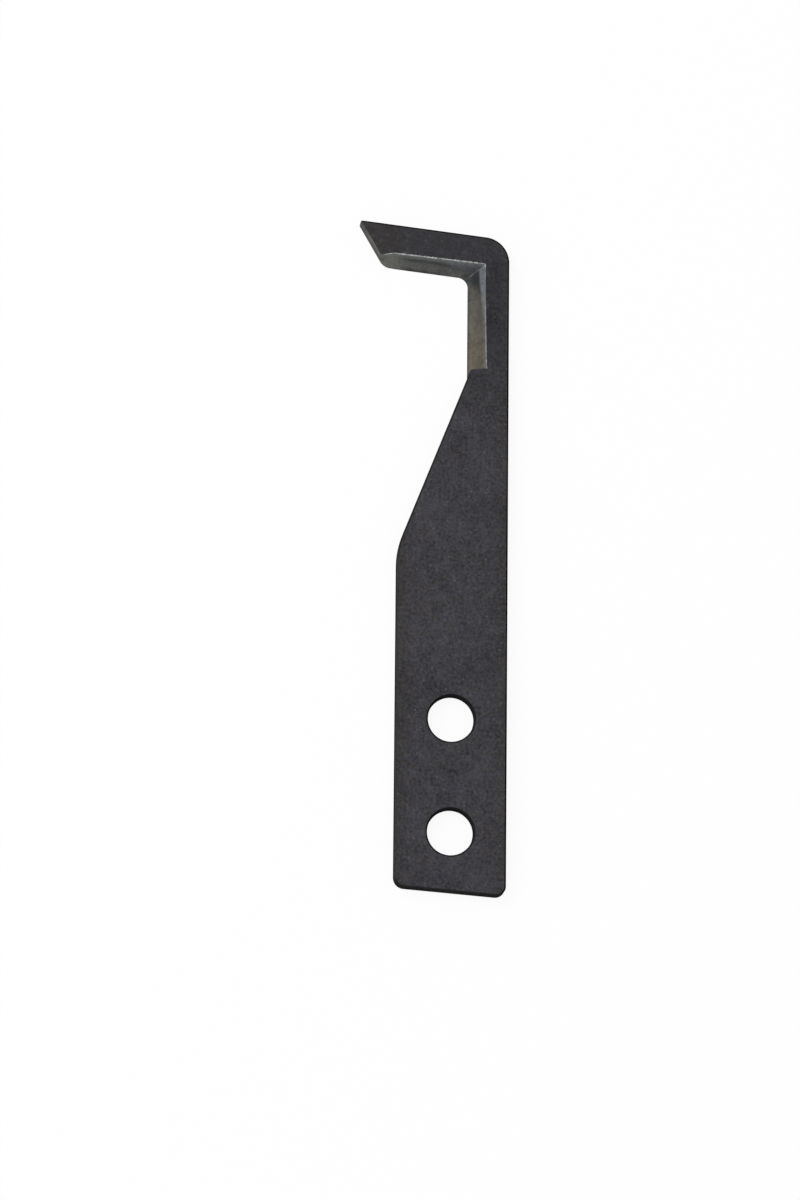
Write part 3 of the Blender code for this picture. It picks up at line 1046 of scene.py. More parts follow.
@dataclass
class HookBlade:
    """The blade itself: plate with softened rims, two bolt holes and the hollow-ground bevel.

    Attributes:
        rim: How far in the rims of the face are rounded.
        back_rim: How far in the rims of the back are rounded.
        hole_lip: How far the inner lips of the holes' chamfers are softened.
        hole_lip_share: How far off the hole's wall the middle of that softening is, as a share of it.
        hollow_depth: How deep the bevel is hollow in its middle.
        edge_land: The height over the back at which the bevel ends in the cutting edge.
        throat_blend: The share of the bevel's width over which the round throat closes into the mitre.
        mitre_radius: The radius of the mitre's corner where it is sharpest.
        top_blend: The share of its width from which the mitre's corner opens again, up to the face line.
        top_radius: The radius of that corner on the face line.
        strip_ridge: How far the ridge along the leg's second facet stands out.
        strip_reach: How far that ridge reaches to each side, as a share of the bevel's width.
        strip_full: How far below the throat the ridge is still whole.
        strip_done: How far below the throat it has run out.
        overshoot: How far the drills go past both faces.
        nose_overshoot: How far the grinding goes past the arm's nose.
        bevel_overshoot: How far it goes past the bevel's two lines, as a share of the bevel's width.
        taper_clearance: How far outside the taper it passes the leg's foot.
        weld: How close together corners are merged.
        digits: The decimal places that the corners' places are rounded to, in metres.
        same_place: How close together two points of the outline count as one.
        end_reach: How deep the arm's end face is taken to be when finishes are given out.
        level_from: The least upward slant of what counts as a flat face.
        upright_until: The most upward slant of what counts as a side.
    """

    plan: BladePlan
    rim: float = 0.30 * MM
    rim_steps: int = 4
    back_rim: float = 0.10 * MM
    back_rim_steps: int = 2
    hole_chamfer: float = 0.3 * MM
    hole_lip: float = 0.04 * MM
    hole_lip_share: float = 0.35
    hole_steps: int = 96
    corner_steps: int = 12
    shoulder_steps: int = 10
    throat_steps: int = 14
    hollow_steps: int = 14
    hollow_depth: float = 0.12 * MM
    edge_land: float = 0.05 * MM
    throat_blend: float = 0.38
    mitre_radius: float = 0.06 * MM
    top_blend: float = 0.60
    top_radius: float = 0.32 * MM
    strip_full: float = 4.6 * MM
    strip_done: float = 8.0 * MM
    strip_ridge: float = 0.05 * MM
    strip_reach: float = 0.22
    leg_stations: int = 16
    overshoot: float = 0.5 * MM
    nose_overshoot: float = 4.0 * MM
    bevel_overshoot: float = 0.01
    taper_clearance: float = 0.04 * MM
    weld: float = 0.001 * MM
    digits: int = 8
    same_place: float = 0.01 * MM
    end_reach: float = 0.36 * MM
    level_from: float = 0.99
    upright_until: float = 0.2
    smooth_angle: float = math.radians(28.0)
    finishes: dict[Surface, bpy.types.Material] = field(default_factory=dict)

    def outline(self) -> tuple[list[Vector], list[Vector]]:
        """The rounded outline.

        Returns:
            The whole outline, anticlockwise, and the stretch that is ground to a cutting edge.
        """
        plan, steps = self.plan, self.corner_steps
        nose, throat, leg_foot = plan.nose, plan.throat, plan.leg_foot
        belly_heel, spine_heel = plan.butt_point(plan.belly_x), plan.butt_point(plan.spine_x)
        nose_arc = rounded_corner(plan.tip, nose, throat, plan.nose_radius, steps)
        throat_arc = rounded_corner(nose, throat, leg_foot, plan.throat_radius, self.throat_steps)
        points = rounded_corner(plan.shoulder, belly_heel, spine_heel, plan.belly_heel_radius, steps)
        points += rounded_corner(belly_heel, spine_heel, plan.crown, plan.spine_heel_radius, steps)
        points += rounded_corner(spine_heel, plan.crown, plan.tip, plan.crown_radius, steps * 2)
        points += rounded_corner(plan.crown, plan.tip, nose, plan.tip_radius, steps)
        shoulder_arc = rounded_corner(leg_foot, plan.shoulder, belly_heel, plan.shoulder_radius,
                                      self.shoulder_steps)
        points += nose_arc + throat_arc + [leg_foot] + shoulder_arc
        return points, nose_arc[-1:] + throat_arc + [leg_foot]

    def plate(self) -> bpy.types.Mesh:
        """The stock cut to the outline, with rounded rims except under the cutting edge.

        Returns:
            The plate's mesh.
        """
        points, ground = self.outline()
        shape = bmesh.new()
        back = [shape.verts.new((*point, 0.0)) for point in points]
        front = [shape.verts.new((*point, self.plan.thickness)) for point in points]
        shape.faces.new(list(reversed(back)))
        shape.faces.new(front)
        front_rims, back_rims = [], []
        for index in range(len(points)):
            shape.faces.new((back[index - 1], back[index], front[index], front[index - 1]))
            front_rims.append(shape.edges.get((front[index - 1], front[index])))
            if not (self.lies_on(points[index - 1], ground) and self.lies_on(points[index], ground)):
                back_rims.append(shape.edges.get((back[index - 1], back[index])))
        bmesh.ops.recalc_face_normals(shape, faces=shape.faces)
        rims = ((front_rims, self.rim, self.rim_steps), (back_rims, self.back_rim, self.back_rim_steps))
        for edges, width, steps in rims:
            bmesh.ops.bevel(shape, geom=edges, offset=width, offset_type="OFFSET", segments=steps,
                            profile=0.5, affect="EDGES", clamp_overlap=True)
        bmesh.ops.recalc_face_normals(shape, faces=shape.faces)
        mesh = bpy.data.meshes.new("blade_plate")
        shape.to_mesh(mesh)
        shape.free()
        return mesh

    def lies_on(self, point: Vector, path: list[Vector]) -> bool:
        """Whether a point is one of the corners of a flat path."""
        return any((point - corner).length < self.same_place for corner in path)

    def drill(self, y: float) -> bpy.types.Object:
        """A turned drill and countersink in one, with softened lips.

        Args:
            y: Where the hole is along the shank.

        Returns:
            The cutter.
        """
        rim = self.countersink()
        profile = [(radius, self.plan.thickness - depth) for radius, depth in rim] + list(reversed(rim))
        mesh = bpy.data.meshes.new("drill")
        mesh.from_pydata([(radius, 0.0, z) for radius, z in profile],
                         [(index, index + 1) for index in range(len(profile) - 1)], [])
        cutter = bpy.data.objects.new("drill", mesh)
        cutter.location.y = y
        turn = cutter.modifiers.new("turn", "SCREW")
        turn.steps = turn.render_steps = self.hole_steps
        turn.use_merge_vertices = True
        turn.merge_threshold = self.weld
        return cutter

    def countersink(self) -> list[tuple[float, float]]:
        """One end of the drill's half profile.

        Returns:
            Its points as radius and depth below the face, from the axis inwards.
        """
        radius, chamfer, lip = self.plan.hole_radius, self.hole_chamfer, self.hole_lip
        return [
            (0.0, -self.overshoot),
            (radius + chamfer + self.overshoot, -self.overshoot),
            (radius + lip, chamfer - lip),
            (radius + lip * self.hole_lip_share, chamfer),
            (radius, chamfer + lip),
        ]

    def leg_line(self, share: float, top: Vector, foot: Vector) -> list[Vector]:
        """The leg's stretch of a plan of the hollow, with the ridge of its second facet.

        Args:
            share: The share of the bevel's width.
            top: Where the stretch starts, under the throat.
            foot: Where it ends, on the wall at the foot.

        Returns:
            Its points, in order, without the first.
        """
        points = []
        for station in range(1, self.leg_stations + 1):
            point = top.lerp(foot, station / self.leg_stations)
            down = self.plan.throat.y - point.y
            near = 1.0 - abs(share - self.plan.strip_share(down)) / self.strip_reach
            fade = ramp(station, 0, 2) * ramp(down, self.strip_done, self.strip_full)
            points.append(point - Vector((self.strip_ridge * max(near, 0.0) * fade, 0.0)))
        return points

    def section(self, share: float) -> list[Vector]:
        """Plan of the ground hollow.

        Args:
            share: The share of the bevel's width, 0 at the cutting edge and 1 at the face line.

        Returns:
            The plan's points, in order round it.
        """
        plan = self.plan
        start = plan.edge_start.lerp(plan.face_start, share)
        nose_end = start + turned(plan.along_arm, plan.nose_turn) * self.nose_overshoot
        mitre = plan.throat.lerp(plan.face_throat, share)
        across = plan.leg_bevel_foot_width * share
        up_the_taper = ramp(across, 0.0, plan.wall_corner.x - plan.leg_x)
        wall_corner = plan.leg_foot.lerp(plan.wall_corner, up_the_taper)
        foot = wall_corner + plan.up_the_wall * (plan.leg_x + across - wall_corner.x)
        left = 1.0 - ramp(share, 0.0, self.throat_blend)
        risen = ramp(share, self.top_blend, 1.0)
        radius = self.mitre_radius + (plan.throat_radius - self.mitre_radius) * left * left
        radius += (self.top_radius - self.mitre_radius) * risen * risen
        throat = rounded_corner(start, mitre, foot, radius, self.throat_steps)
        leg = self.leg_line(share, throat[-1], foot)
        past_the_taper = plan.leg_foot + turned(Vector((-self.taper_clearance, 0.0)), -plan.taper_angle)
        open_side = Vector((nose_end.x, plan.wall_corner.y))
        return [nose_end, start, *throat, *leg, wall_corner, past_the_taper, open_side]

    def height(self, share: float) -> float:
        """How high the hollow bevel is.

        Args:
            share: The share of the bevel's width, 0 at the cutting edge and 1 at the face line.

        Returns:
            The height over the back.
        """
        inside = ramp(share, 0.0, 1.0)
        rise = (self.plan.thickness - self.edge_land) * share
        return self.edge_land + rise - 4 * self.hollow_depth * inside * (1 - inside)

    def grinder(self) -> bpy.types.Object:
        """What the grinding takes out of the hook: a loft of plans up to the face line.

        Returns:
            The cutter.
        """
        shares = [step / self.hollow_steps for step in range(self.hollow_steps + 1)]
        shares = [-self.bevel_overshoot] + shares + [1 + self.bevel_overshoot]
        shape = bmesh.new()
        sections = []
        for share in shares:
            height = self.height(share)
            sections.append([shape.verts.new((*point, height)) for point in self.section(share)])
        for lower, upper in zip(sections, sections[1:]):
            for index in range(len(lower)):
                shape.faces.new((lower[index - 1], lower[index], upper[index], upper[index - 1]))
        shape.faces.new(sections[0])
        shape.faces.new(sections[-1])
        bmesh.ops.remove_doubles(shape, verts=shape.verts, dist=self.weld)
        bmesh.ops.recalc_face_normals(shape, faces=shape.faces)
        mesh = bpy.data.meshes.new("grinder")
        shape.to_mesh(mesh)
        shape.free()
        return bpy.data.objects.new("grinder", mesh)

    def cut(self, blade: bpy.types.Object, cutter: bpy.types.Object, surface: Surface) -> None:
        """Adds one cut to the blade.

        Args:
            blade: The blade so far.
            cutter: What is taken out of it.
            surface: The kind of surface that the cut leaves.
        """
        bpy.context.scene.collection.objects.link(cutter)
        cutter.data.materials.append(self.finishes[surface])
        boolean = blade.modifiers.new(cutter.name, "BOOLEAN")
        boolean.operation = "DIFFERENCE"
        boolean.solver = "EXACT"
        boolean.object = cutter
        boolean.material_mode = "TRANSFER"

    def clean(self, mesh: bpy.types.Mesh) -> None:
        """Takes out the empty faces that the cuts leave, and puts the rest in the same order each run.

        Args:
            mesh: The blade's plain mesh, as the cuts leave it.
        """
        shape = bmesh.new()
        shape.from_mesh(mesh)
        bmesh.ops.remove_doubles(shape, verts=shape.verts, dist=self.weld)
        bmesh.ops.dissolve_degenerate(shape, dist=self.weld, edges=shape.edges)
        places = {corner: tuple(round(value, self.digits) for value in corner.co) for corner in shape.verts}
        corners = sorted(shape.verts, key=places.get)
        order = {corner: index for index, corner in enumerate(corners)}
        faces = []
        for face in shape.faces:
            outline = [order[corner] for corner in face.verts]
            first = outline.index(min(outline))
            faces.append((outline[first:] + outline[:first], face.material_index))
        faces.sort()
        mesh.clear_geometry()
        mesh.from_pydata([places[corner] for corner in corners], [], [outline for outline, _ in faces])
        for face, (_, kind) in zip(mesh.polygons, faces):
            face.material_index = kind
        shape.free()

    def sort_surfaces(self, mesh: bpy.types.Mesh) -> None:
        """Gives every face of the finished mesh the finish of its kind of surface.

        Args:
            mesh: The blade's plain mesh, with the few finishes that the cuts gave it.
        """
        names = [material.name for material in mesh.materials]
        ground = names.index(self.finishes[Surface.ARM_BEVEL].name)
        bore = names.index(self.finishes[Surface.BORE].name)
        kinds = []
        for face in mesh.polygons:
            if face.material_index == ground:
                kinds.append(self.bevel_kind(face.center))
            elif face.material_index == bore:
                kinds.append(Surface.BORE)
            else:
                kinds.append(self.plate_kind(face.center, face.normal))
        mesh.materials.clear()
        for surface in Surface:
            mesh.materials.append(self.finishes[surface])
        for face, kind in zip(mesh.polygons, kinds):
            face.material_index = kind.value

    def bevel_kind(self, centre: Vector) -> Surface:
        """Whether a place on the bevel belongs to the arm or to the leg, by its side of the mitre.

        Args:
            centre: The middle of a face of the bevel.

        Returns:
            Its kind.
        """
        plan = self.plan
        mitre = plan.face_throat - plan.throat
        side = mitre.cross(centre.xy - plan.throat)
        return Surface.ARM_BEVEL if side > 0 else Surface.LEG_BEVEL

    def plate_kind(self, centre: Vector, normal: Vector) -> Surface:
        """The kind of surface at a place on the plate.

        Args:
            centre: The middle of a face.
            normal: The way it points.

        Returns:
            Its kind.
        """
        plan = self.plan
        if abs(normal.z) > self.level_from:
            return Surface.FACE
        along_end = (plan.tip - plan.nose).normalized()
        from_the_end = abs(along_end.cross(centre.xy - plan.nose))
        beside_the_end = 0 < along_end.dot(centre.xy - plan.nose) < (plan.tip - plan.nose).length
        on_the_nose = (centre.xy - plan.nose).length < plan.nose_radius
        if on_the_nose or (from_the_end < self.end_reach and beside_the_end):
            return Surface.END
        if abs(normal.z) <= self.upright_until:
            return Surface.WALL
        # The rims take lit and shaded copies of one oxide: painted light on the belly's side, painted shade
        # on the spine's side and the arm's top.
        if centre.x < plan.belly_x + self.rim and abs(normal.y) < self.upright_until:
            return Surface.LIT_BELLY_RIM
        return Surface.SHADED_SPINE_RIM if normal.x + normal.y > 0 else Surface.RIM

    def build(self) -> bpy.types.Object:
        """Builds, cuts and dresses the blade.

        Returns:
            The blade, as a plain mesh at the origin.
        """
        raw = bpy.data.objects.new("blade_raw", self.plate())
        bpy.context.scene.collection.objects.link(raw)
        raw.data.materials.append(self.finishes[Surface.FACE])
        for y in (self.plan.hole_y, -self.plan.hole_y):
            self.cut(raw, self.drill(y), Surface.BORE)
        self.cut(raw, self.grinder(), Surface.ARM_BEVEL)
        mesh = plain_mesh(raw, "hook_blade")
        for modifier in list(raw.modifiers):
            bpy.data.objects.remove(modifier.object)
        bpy.data.objects.remove(raw)
        self.clean(mesh)
        self.sort_surfaces(mesh)
        blade = bpy.data.objects.new("hook_blade", mesh)
        bpy.context.scene.collection.objects.link(blade)
        mesh.shade_smooth()
        mesh.set_sharp_from_angle(angle=self.smooth_angle)
        weighted = blade.modifiers.new("flat_faces_stay_flat", "WEIGHTED_NORMAL")
        weighted.keep_sharp = True
        return blade


def plain_mesh(item: bpy.types.Object, name: str) -> bpy.types.Mesh:
    """The mesh that an object's modifiers leave.

    Args:
        item: The object, with its modifiers.
        name: The new mesh's name.

    Returns:
        The plain mesh.
    """
    bpy.context.view_layer.update()
    evaluated = item.evaluated_get(bpy.context.evaluated_depsgraph_get())
    mesh = bpy.data.meshes.new_from_object(evaluated)
    mesh.name = name
    return mesh


class BurrWidth(Enum):
    """How wide the burr is along each stretch of the face line, as a share of its full width."""

    NOSE = 0.60
    ARM = 0.96
    CORNER = 0.74
    STRIP = 0.16
    LEG = 0.78
    FOOT = 0.95
    END = 0.20


@dataclass
class FaceLineBurr:
    """A raised, uneven thread of metal that the grinding left along the bevel's face line.

    Attributes:
        flatness: Its height as a share of its width.
        arm_inset: How far it lies inside the face line along the arm.
        leg_inset: How far it lies inside the face line along the leg.
        corner_lift: How far its corner over the throat lies outside the face line's.
        nose_reach: How far it runs on from where the face line turns down to the nose.
        nose_full: How much of that run has the nose's width, as a share.
        arm_full: From where to where it has the arm's width, as shares of the line along the arm.
        strip_full: The same beside the leg's second facet, as shares of the line down the leg.
        leg_full: The same below that facet.
        wall_reach: How far it runs down the wall at the bevel's foot, as a share of the wall.
        width_noise: How long its thick and thin places are.
        least_width: The thinnest that the noise makes it, as a share.
        sunk: How deep its middle lies under the face.
    """

    plan: BladePlan
    finish: bpy.types.Material
    half_width: float = 0.148 * MM
    flatness: float = 0.30
    arm_inset: float = 0.14 * MM
    leg_inset: float = 0.10 * MM
    corner_lift: float = 0.15 * MM
    corner_radius: float = 0.24 * MM
    corner_steps: int = 5
    spacing: float = 0.06 * MM
    sides: int = 8
    nose_reach: float = 1.95 * MM
    nose_full: float = 0.8
    arm_full: Span = (0.13, 0.92)
    strip_full: Span = (0.06, 0.26)
    leg_full: Span = (0.40, 0.97)
    wall_reach: float = 0.3
    width_noise: float = 0.5 * MM
    width_change: float = 0.40
    least_width: float = 0.08
    waver: float = 0.015 * MM
    sunk: float = 0.02 * MM
    seed: int = 7

    def path(self) -> list[tuple[Vector, BurrWidth]]:
        """The corners of the face line, from the arm's end face to the bevel's foot.

        Returns:
            Each corner with the burr's width there.
        """
        plan = self.plan
        start = plan.face_start - plan.across_arm * self.arm_inset
        nose_end = start + turned(plan.along_arm, plan.nose_turn) * self.nose_reach
        leg_top = plan.face_throat - Vector((self.leg_inset, 0.0))
        widening = plan.leg_bevel_foot_width - plan.leg_bevel_top_width
        down = Vector((widening, plan.face_foot.y - plan.face_throat.y))
        top = plan.face_throat + Vector((0.0, self.corner_lift))
        corner = rounded_corner(start, top, plan.face_foot, self.corner_radius, self.corner_steps)
        strip_starts, strip_ends = self.strip_full
        return [
            (nose_end, BurrWidth.END),
            (start.lerp(nose_end, self.nose_full), BurrWidth.NOSE),
            (start, BurrWidth.NOSE),
            *((start.lerp(top, share), BurrWidth.ARM) for share in self.arm_full),
            *((place, BurrWidth.CORNER) for place in corner),
            (plan.face_throat + down * strip_starts, BurrWidth.STRIP),
            (leg_top + down * strip_ends, BurrWidth.STRIP),
            *((leg_top + down * share, BurrWidth.LEG) for share in self.leg_full),
            (plan.face_foot, BurrWidth.FOOT),
            (plan.face_foot.lerp(plan.wall_corner, self.wall_reach), BurrWidth.END),
        ]

    def line(self) -> bpy.types.Object:
        """The face line as a curve whose radius at each corner is the burr's width there.

        Returns:
            The curve, in the scene.
        """
        curve = bpy.data.curves.new("face_line", "CURVE")
        curve.dimensions = "3D"
        spline = curve.splines.new("POLY")
        corners = self.path()
        spline.points.add(len(corners) - 1)
        for control, (place, width) in zip(spline.points, corners):
            control.co = (*place, self.plan.thickness - self.sunk, 1.0)
            control.radius = width.value
        line = bpy.data.objects.new("face_line", curve)
        bpy.context.scene.collection.objects.link(line)
        return line

    def tree(self) -> bpy.types.NodeTree:
        """The geometry nodes that swell an uneven thread round a line.

        Returns:
            The tree, with inputs for the sizes.
        """
        tree = bpy.data.node_groups.new("burr_along_a_line", "GeometryNodeTree")
        tree.interface.new_socket("Geometry", in_out="OUTPUT", socket_type="NodeSocketGeometry")
        tree.interface.new_socket("Line", in_out="INPUT", socket_type="NodeSocketGeometry")
        sizes = ("Half Width", "Flatness", "Spacing", "Noise Size", "Width Change", "Least Width", "Waver")
        for name in sizes:
            tree.interface.new_socket(name, in_out="INPUT", socket_type="NodeSocketFloat")
        for name in ("Sides", "Seed"):
            tree.interface.new_socket(name, in_out="INPUT", socket_type="NodeSocketInt")
        tree.interface.new_socket("Finish", in_out="INPUT", socket_type="NodeSocketMaterial")
        made = NodeBuilder(tree)
        given = made.add("NodeGroupInput").outputs
        place = made.add("GeometryNodeInputPosition").outputs[0]
        noise = {"Vector": place, "W": given["Seed"], "Scale": made.math("DIVIDE", 1.0, given["Noise Size"])}
        swells = made.add("ShaderNodeTexNoise", noise | {"Detail": 3.0}, noise_dimensions="4D")
        wander = made.add("ShaderNodeTexNoise", noise | {"Detail": 2.0}, noise_dimensions="4D")
        line = {"Curve": given["Line"], "Length": given["Spacing"]}
        line = made.add("GeometryNodeResampleCurve", line, mode="LENGTH").outputs[0]
        line = made.add("GeometryNodeSetCurveNormal", {"Curve": line}, mode="Z_UP").outputs[0]
        swing = made.product(made.centred(swells.outputs[0]), NOISE_SPREAD)
        share = made.math("MULTIPLY_ADD", swing, given["Width Change"], 1.0)
        share = made.math("MAXIMUM", share, given["Least Width"])
        radius = made.product(made.add("GeometryNodeInputRadius").outputs[0], share)
        line = made.add("GeometryNodeSetCurveRadius", {"Curve": line, "Radius": radius}).outputs[0]
        ring = {"Resolution": given["Sides"], "Radius": given["Half Width"]}
        ring = made.add("GeometryNodeCurvePrimitiveCircle", ring).outputs[0]
        flat = made.add("ShaderNodeCombineXYZ", {0: 1.0, 1: given["Flatness"], 2: 1.0}).outputs[0]
        ring = made.add("GeometryNodeTransform", {"Geometry": ring, "Scale": flat}).outputs[0]
        thread = {"Curve": line, "Profile Curve": ring, "Scale": radius, "Fill Caps": True}
        thread = made.add("GeometryNodeCurveToMesh", thread).outputs[0]
        centred = made.vector("SUBTRACT", wander.outputs["Color"], (0.5, 0.5, 0.5))
        sideways = made.vector("MULTIPLY", centred, (1.0, 1.0, 0.0))
        offset = made.scaled(sideways, made.product(given["Waver"], NOISE_SPREAD))
        thread = made.add("GeometryNodeSetPosition", {"Geometry": thread, "Offset": offset}).outputs[0]
        thread = made.add("GeometryNodeRealizeInstances", {"Geometry": thread}).outputs[0]
        thread = {"Geometry": thread, "Material": given["Finish"]}
        thread = made.add("GeometryNodeSetMaterial", thread).outputs[0]
        made.add("NodeGroupOutput", {"Geometry": thread})
        return tree

    def build(self) -> bpy.types.Object:
        """Runs the nodes along the face line.

        Returns:
            The burr, as a plain mesh at the origin.
        """
        line = self.line()
        tree = self.tree()
        values = {
            "Half Width": self.half_width,
            "Flatness": self.flatness,
            "Spacing": self.spacing,
            "Noise Size": self.width_noise,
            "Width Change": self.width_change,
            "Least Width": self.least_width,
            "Waver": self.waver,
            "Sides": self.sides,
            "Seed": self.seed,
            "Finish": self.finish,
        }
        modifier = line.modifiers.new("burr", "NODES")
        modifier.node_group = tree
        for socket in tree.interface.items_tree:
            if socket.in_out == "INPUT" and socket.name in values:
                modifier[socket.identifier] = values[socket.name]
        mesh = plain_mesh(line, "face_line_burr")
        bpy.data.objects.remove(line)
        mesh.shade_smooth()
        burr = bpy.data.objects.new("face_line_burr", mesh)
        bpy.context.scene.collection.objects.link(burr)
        return burr


@dataclass(frozen=True)
class PhotoView:
    """The camera as the photograph was taken, worked out from the blade's edges and holes.

    Attributes:
        distance: How far ahead of the camera the origin is.
        across: How far right of the picture's middle it is, measured at the blade.
        down: How far below the picture's middle it is, measured there too.
        sideways: A last small move of the camera along X.
        lens_to_height: The focal length, as a share of the picture's height.
    """

    yaw: float = math.radians(4.681)
    pitch: float = math.radians(-11.881)
    roll: float = math.radians(0.523)
    distance: float = 1000.0 * MM
    across: float = 8.504 * MM
    down: float = 30.139 * MM
    sideways: float = 0.10 * MM
    lens_to_height: float = 4.9115
    sensor: float = 36.0
    clip_start: float = 10.0 * MM

    def axes(self) -> Matrix:
        """The view's own axes.

        Returns:
            A matrix whose rows are right, down and ahead.
        """
        plate = Matrix(((1.0, 0.0, 0.0), (0.0, -1.0, 0.0), (0.0, 0.0, -1.0)))
        roll = Matrix.Rotation(self.roll, 3, "Z")
        pitch = Matrix.Rotation(self.pitch, 3, "X")
        yaw = Matrix.Rotation(self.yaw, 3, "Y")
        return roll @ plate @ pitch @ yaw

    def build(self) -> None:
        """Makes the camera and gives it to the scene."""
        axes = self.axes()
        origin_in_view = Vector((self.across, self.down, self.distance))
        place = Vector((self.sideways, 0.0, 0.0)) - axes.transposed() @ origin_in_view
        right, down, ahead = axes
        turn = Matrix((right, -down, -ahead)).transposed()
        data = bpy.data.cameras.new("photo_camera")
        data.sensor_fit = "AUTO"
        data.sensor_width = self.sensor
        data.lens = self.sensor * self.lens_to_height
        data.clip_start = self.clip_start
        camera = bpy.data.objects.new("photo_camera", data)
        camera.matrix_world = Matrix.Translation(place) @ turn.to_4x4()
        bpy.context.scene.collection.objects.link(camera)
        bpy.context.scene.camera = camera


@dataclass(frozen=True)
class Lamp:
    """A soft box that points at the middle of the blade."""

    name: str
    place: Triple
    size: float
    power: float
    aim: Triple = (0.0, 35.0 * MM, 0.0)

    def build(self) -> None:
        """Hangs the lamp."""
        data = bpy.data.lights.new(self.name, "AREA")
        data.shape = "SQUARE"
        data.size = self.size
        data.energy = self.power
        lamp = bpy.data.objects.new(self.name, data)
        lamp.location = self.place
        towards = Vector(self.aim) - Vector(self.place)
        lamp.rotation_euler = towards.to_track_quat("-Z", "Y").to_euler()
        bpy.context.scene.collection.objects.link(lamp)


@dataclass(frozen=True)
class Studio:
    """A plain white floor, an even white surround and soft boxes.

    Attributes:
        floor_reach: How far the floor goes from the origin to each side.
        floor_drop: How far under the blade's back it lies.
        glow_share: How much of the floor's white is a glow, which takes no shadow.
        white: How bright that glow and the surround are where they are seen.
        surround: How strong the surround is as a light.
    """

    floor_reach: float = 3.0
    floor_drop: float = 0.01 * MM
    floor_colour: Colour = (0.92, 0.92, 0.92)
    glow_share: float = 0.92
    white: float = 1.0
    surround: float = 0.60
    lamps: tuple[Lamp, ...] = (
        Lamp("key_box", place=(-0.7, 0.5, 1.1), size=0.9, power=9.0),
        Lamp("side_box", place=(-1.1, -0.1, 0.5), size=0.7, power=3.0),
    )

    def white_rays(self, made: NodeBuilder) -> bpy.types.NodeSocket:
        """A mask of the rays that see the white ground: from the camera, and off gloss or through glass.

        Args:
            made: The builder of the paper or of the surround.

        Returns:
            The socket that gives the mask.
        """
        path = made.add("ShaderNodeLightPath")
        seen = made.math("MAXIMUM", path.outputs["Is Camera Ray"], path.outputs["Is Glossy Ray"])
        return made.math("MAXIMUM", seen, path.outputs["Is Transmission Ray"])

    def floor(self) -> bpy.types.Object:
        """Lays the floor just under the blade's back.

        Returns:
            The floor.
        """
        reach, z = self.floor_reach, -self.floor_drop
        mesh = bpy.data.meshes.new("floor")
        corners = [(-reach, -reach, z), (reach, -reach, z), (reach, reach, z), (-reach, reach, z)]
        mesh.from_pydata(corners, [], [(0, 1, 2, 3)])
        material = bpy.data.materials.new("white_paper")
        material.use_nodes = True
        made = NodeBuilder(material.node_tree)
        made.tree.nodes.clear()
        paper = made.add("ShaderNodeBsdfDiffuse", {"Color": (*self.floor_colour, 1.0)})
        glow = made.add("ShaderNodeEmission", {"Color": (self.white, self.white, self.white, 1.0)})
        share = made.math("MULTIPLY", self.white_rays(made), self.glow_share)
        mixed = made.add("ShaderNodeMixShader", {0: share, 1: paper.outputs[0], 2: glow.outputs[0]})
        made.add("ShaderNodeOutputMaterial", {"Surface": mixed.outputs[0]})
        mesh.materials.append(material)
        floor = bpy.data.objects.new("floor", mesh)
        bpy.context.scene.collection.objects.link(floor)
        return floor

    def world(self) -> None:
        """Sets the surround: white where it is seen, soft grey where it lights."""
        world = bpy.data.worlds.new("white_studio")
        world.use_nodes = True
        made = NodeBuilder(world.node_tree)
        made.tree.nodes.clear()
        seen = made.add("ShaderNodeBackground", {"Color": (self.white, self.white, self.white, 1.0)})
        light = made.add("ShaderNodeBackground", {"Color": (1.0, 1.0, 1.0, 1.0), "Strength": self.surround})
        share = self.white_rays(made)
        mixed = made.add("ShaderNodeMixShader", {0: share, 1: light.outputs[0], 2: seen.outputs[0]})
        made.add("ShaderNodeOutputWorld", {"Surface": mixed.outputs[0]})
        bpy.context.scene.world = world
        bpy.context.scene.view_settings.view_transform = "Standard"

    def build(self) -> bpy.types.Object:
        """Builds the studio.

        Returns:
            The floor.
        """
        self.world()
        for lamp in self.lamps:
            lamp.build()
        return self.floor()


def grey(value: float) -> Colour:
    """A colour without any tint."""
    return (value, value, value)


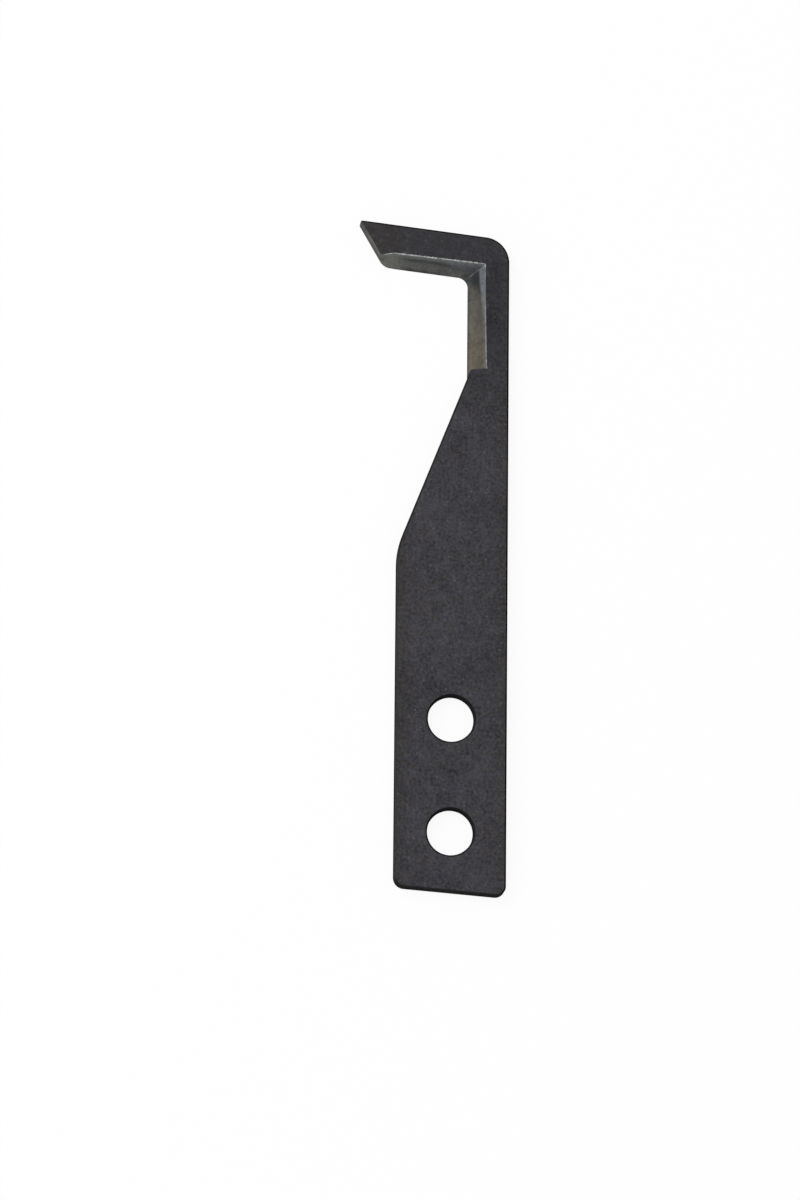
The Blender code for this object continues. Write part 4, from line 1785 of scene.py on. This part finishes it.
def blade_finishes(plan: BladePlan) -> dict[Surface, bpy.types.Material]:
    """Builds the finish of each kind of surface.

    Args:
        plan: The blade's sizes.

    Returns:
        The materials, by the kind of surface.
    """
    end_tones = (
        (0.0, (0.025, 0.025, 0.023)),
        (0.80, (0.030, 0.030, 0.028)),
        (0.90, (0.106, 0.103, 0.096)),
        (1.0, (0.112, 0.109, 0.101)),
    )
    # The tones across each bevel are partly painted light and shade of the hollow grind: darker where it
    # steepens towards the face line and pale just under it; the leg's warmth is partly a painted warm
    # reflection.
    arm_tones = (
        (0.00, (0.030, 0.031, 0.029)),
        (0.10, (0.050, 0.051, 0.048)),
        (0.18, (0.080, 0.082, 0.077)),
        (0.45, (0.080, 0.082, 0.079)),
        (0.66, (0.042, 0.044, 0.043)),
        (0.80, (0.094, 0.098, 0.099)),
        (0.95, (0.118, 0.122, 0.124)),
    )
    leg_tones = (
        (0.00, (0.036, 0.035, 0.033)),
        (0.08, (0.054, 0.052, 0.048)),
        (0.16, (0.074, 0.069, 0.061)),
        (0.60, (0.070, 0.065, 0.056)),
        (0.76, (0.067, 0.063, 0.058)),
        (0.96, (0.104, 0.103, 0.103)),
    )
    finishes = {
        Surface.FACE: OxideFace(plan),
        # Three copies of the rim's oxide, from painted shade on the spine's side through the plain rim to
        # painted light on the belly's side.
        Surface.RIM: OxideEdge("black_oxide_rim", grey(0.012), grey(0.028)),
        Surface.SHADED_SPINE_RIM: OxideEdge("black_oxide_rim_painted_shade", grey(0.003), grey(0.008)),
        Surface.LIT_BELLY_RIM: OxideEdge("black_oxide_rim_painted_light", grey(0.022), grey(0.052)),
        Surface.WALL: OxideEdge("black_oxide_side", grey(0.009), (0.026, 0.026, 0.025)),
        Surface.BORE: OxideEdge("black_oxide_bore", (0.009, 0.009, 0.010), (0.021, 0.021, 0.022)),
        Surface.END: EndSteel("ground_steel_end", plan, end_tones, (0.1, 1.0, 1.0), plan.tip_angle,
                              metallic=0.0, specular=0.05),
        Surface.ARM_BEVEL: ArmSteel("ground_steel_arm", plan, arm_tones, (0.08, 1.0, 1.0), plan.arm_rake),
        Surface.LEG_BEVEL: LegSteel("ground_steel_leg", plan, leg_tones, (1.0, 0.08, 1.0), 0.0),
    }
    return {surface: finish.material() for surface, finish in finishes.items()}


def main() -> None:
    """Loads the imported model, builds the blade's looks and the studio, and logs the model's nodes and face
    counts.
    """
    logging.basicConfig(level=logging.INFO, format="%(name)s: %(message)s")
    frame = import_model()
    log.info("packed model has nodes %s", sorted(frame["nodes"]))
    plan = BladePlan()

    blade = HookBlade(plan, finishes=blade_finishes(plan)).build()
    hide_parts("blade")
    burr = FaceLineBurr(plan, BrightBurr(plan).material()).build()
    for piece in (blade, burr):
        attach(piece, "root")
        log.info("%s has %d faces", piece.name, len(piece.data.polygons))

    Studio().build()
    PhotoView().build()


if __name__ == "__main__":
    main()
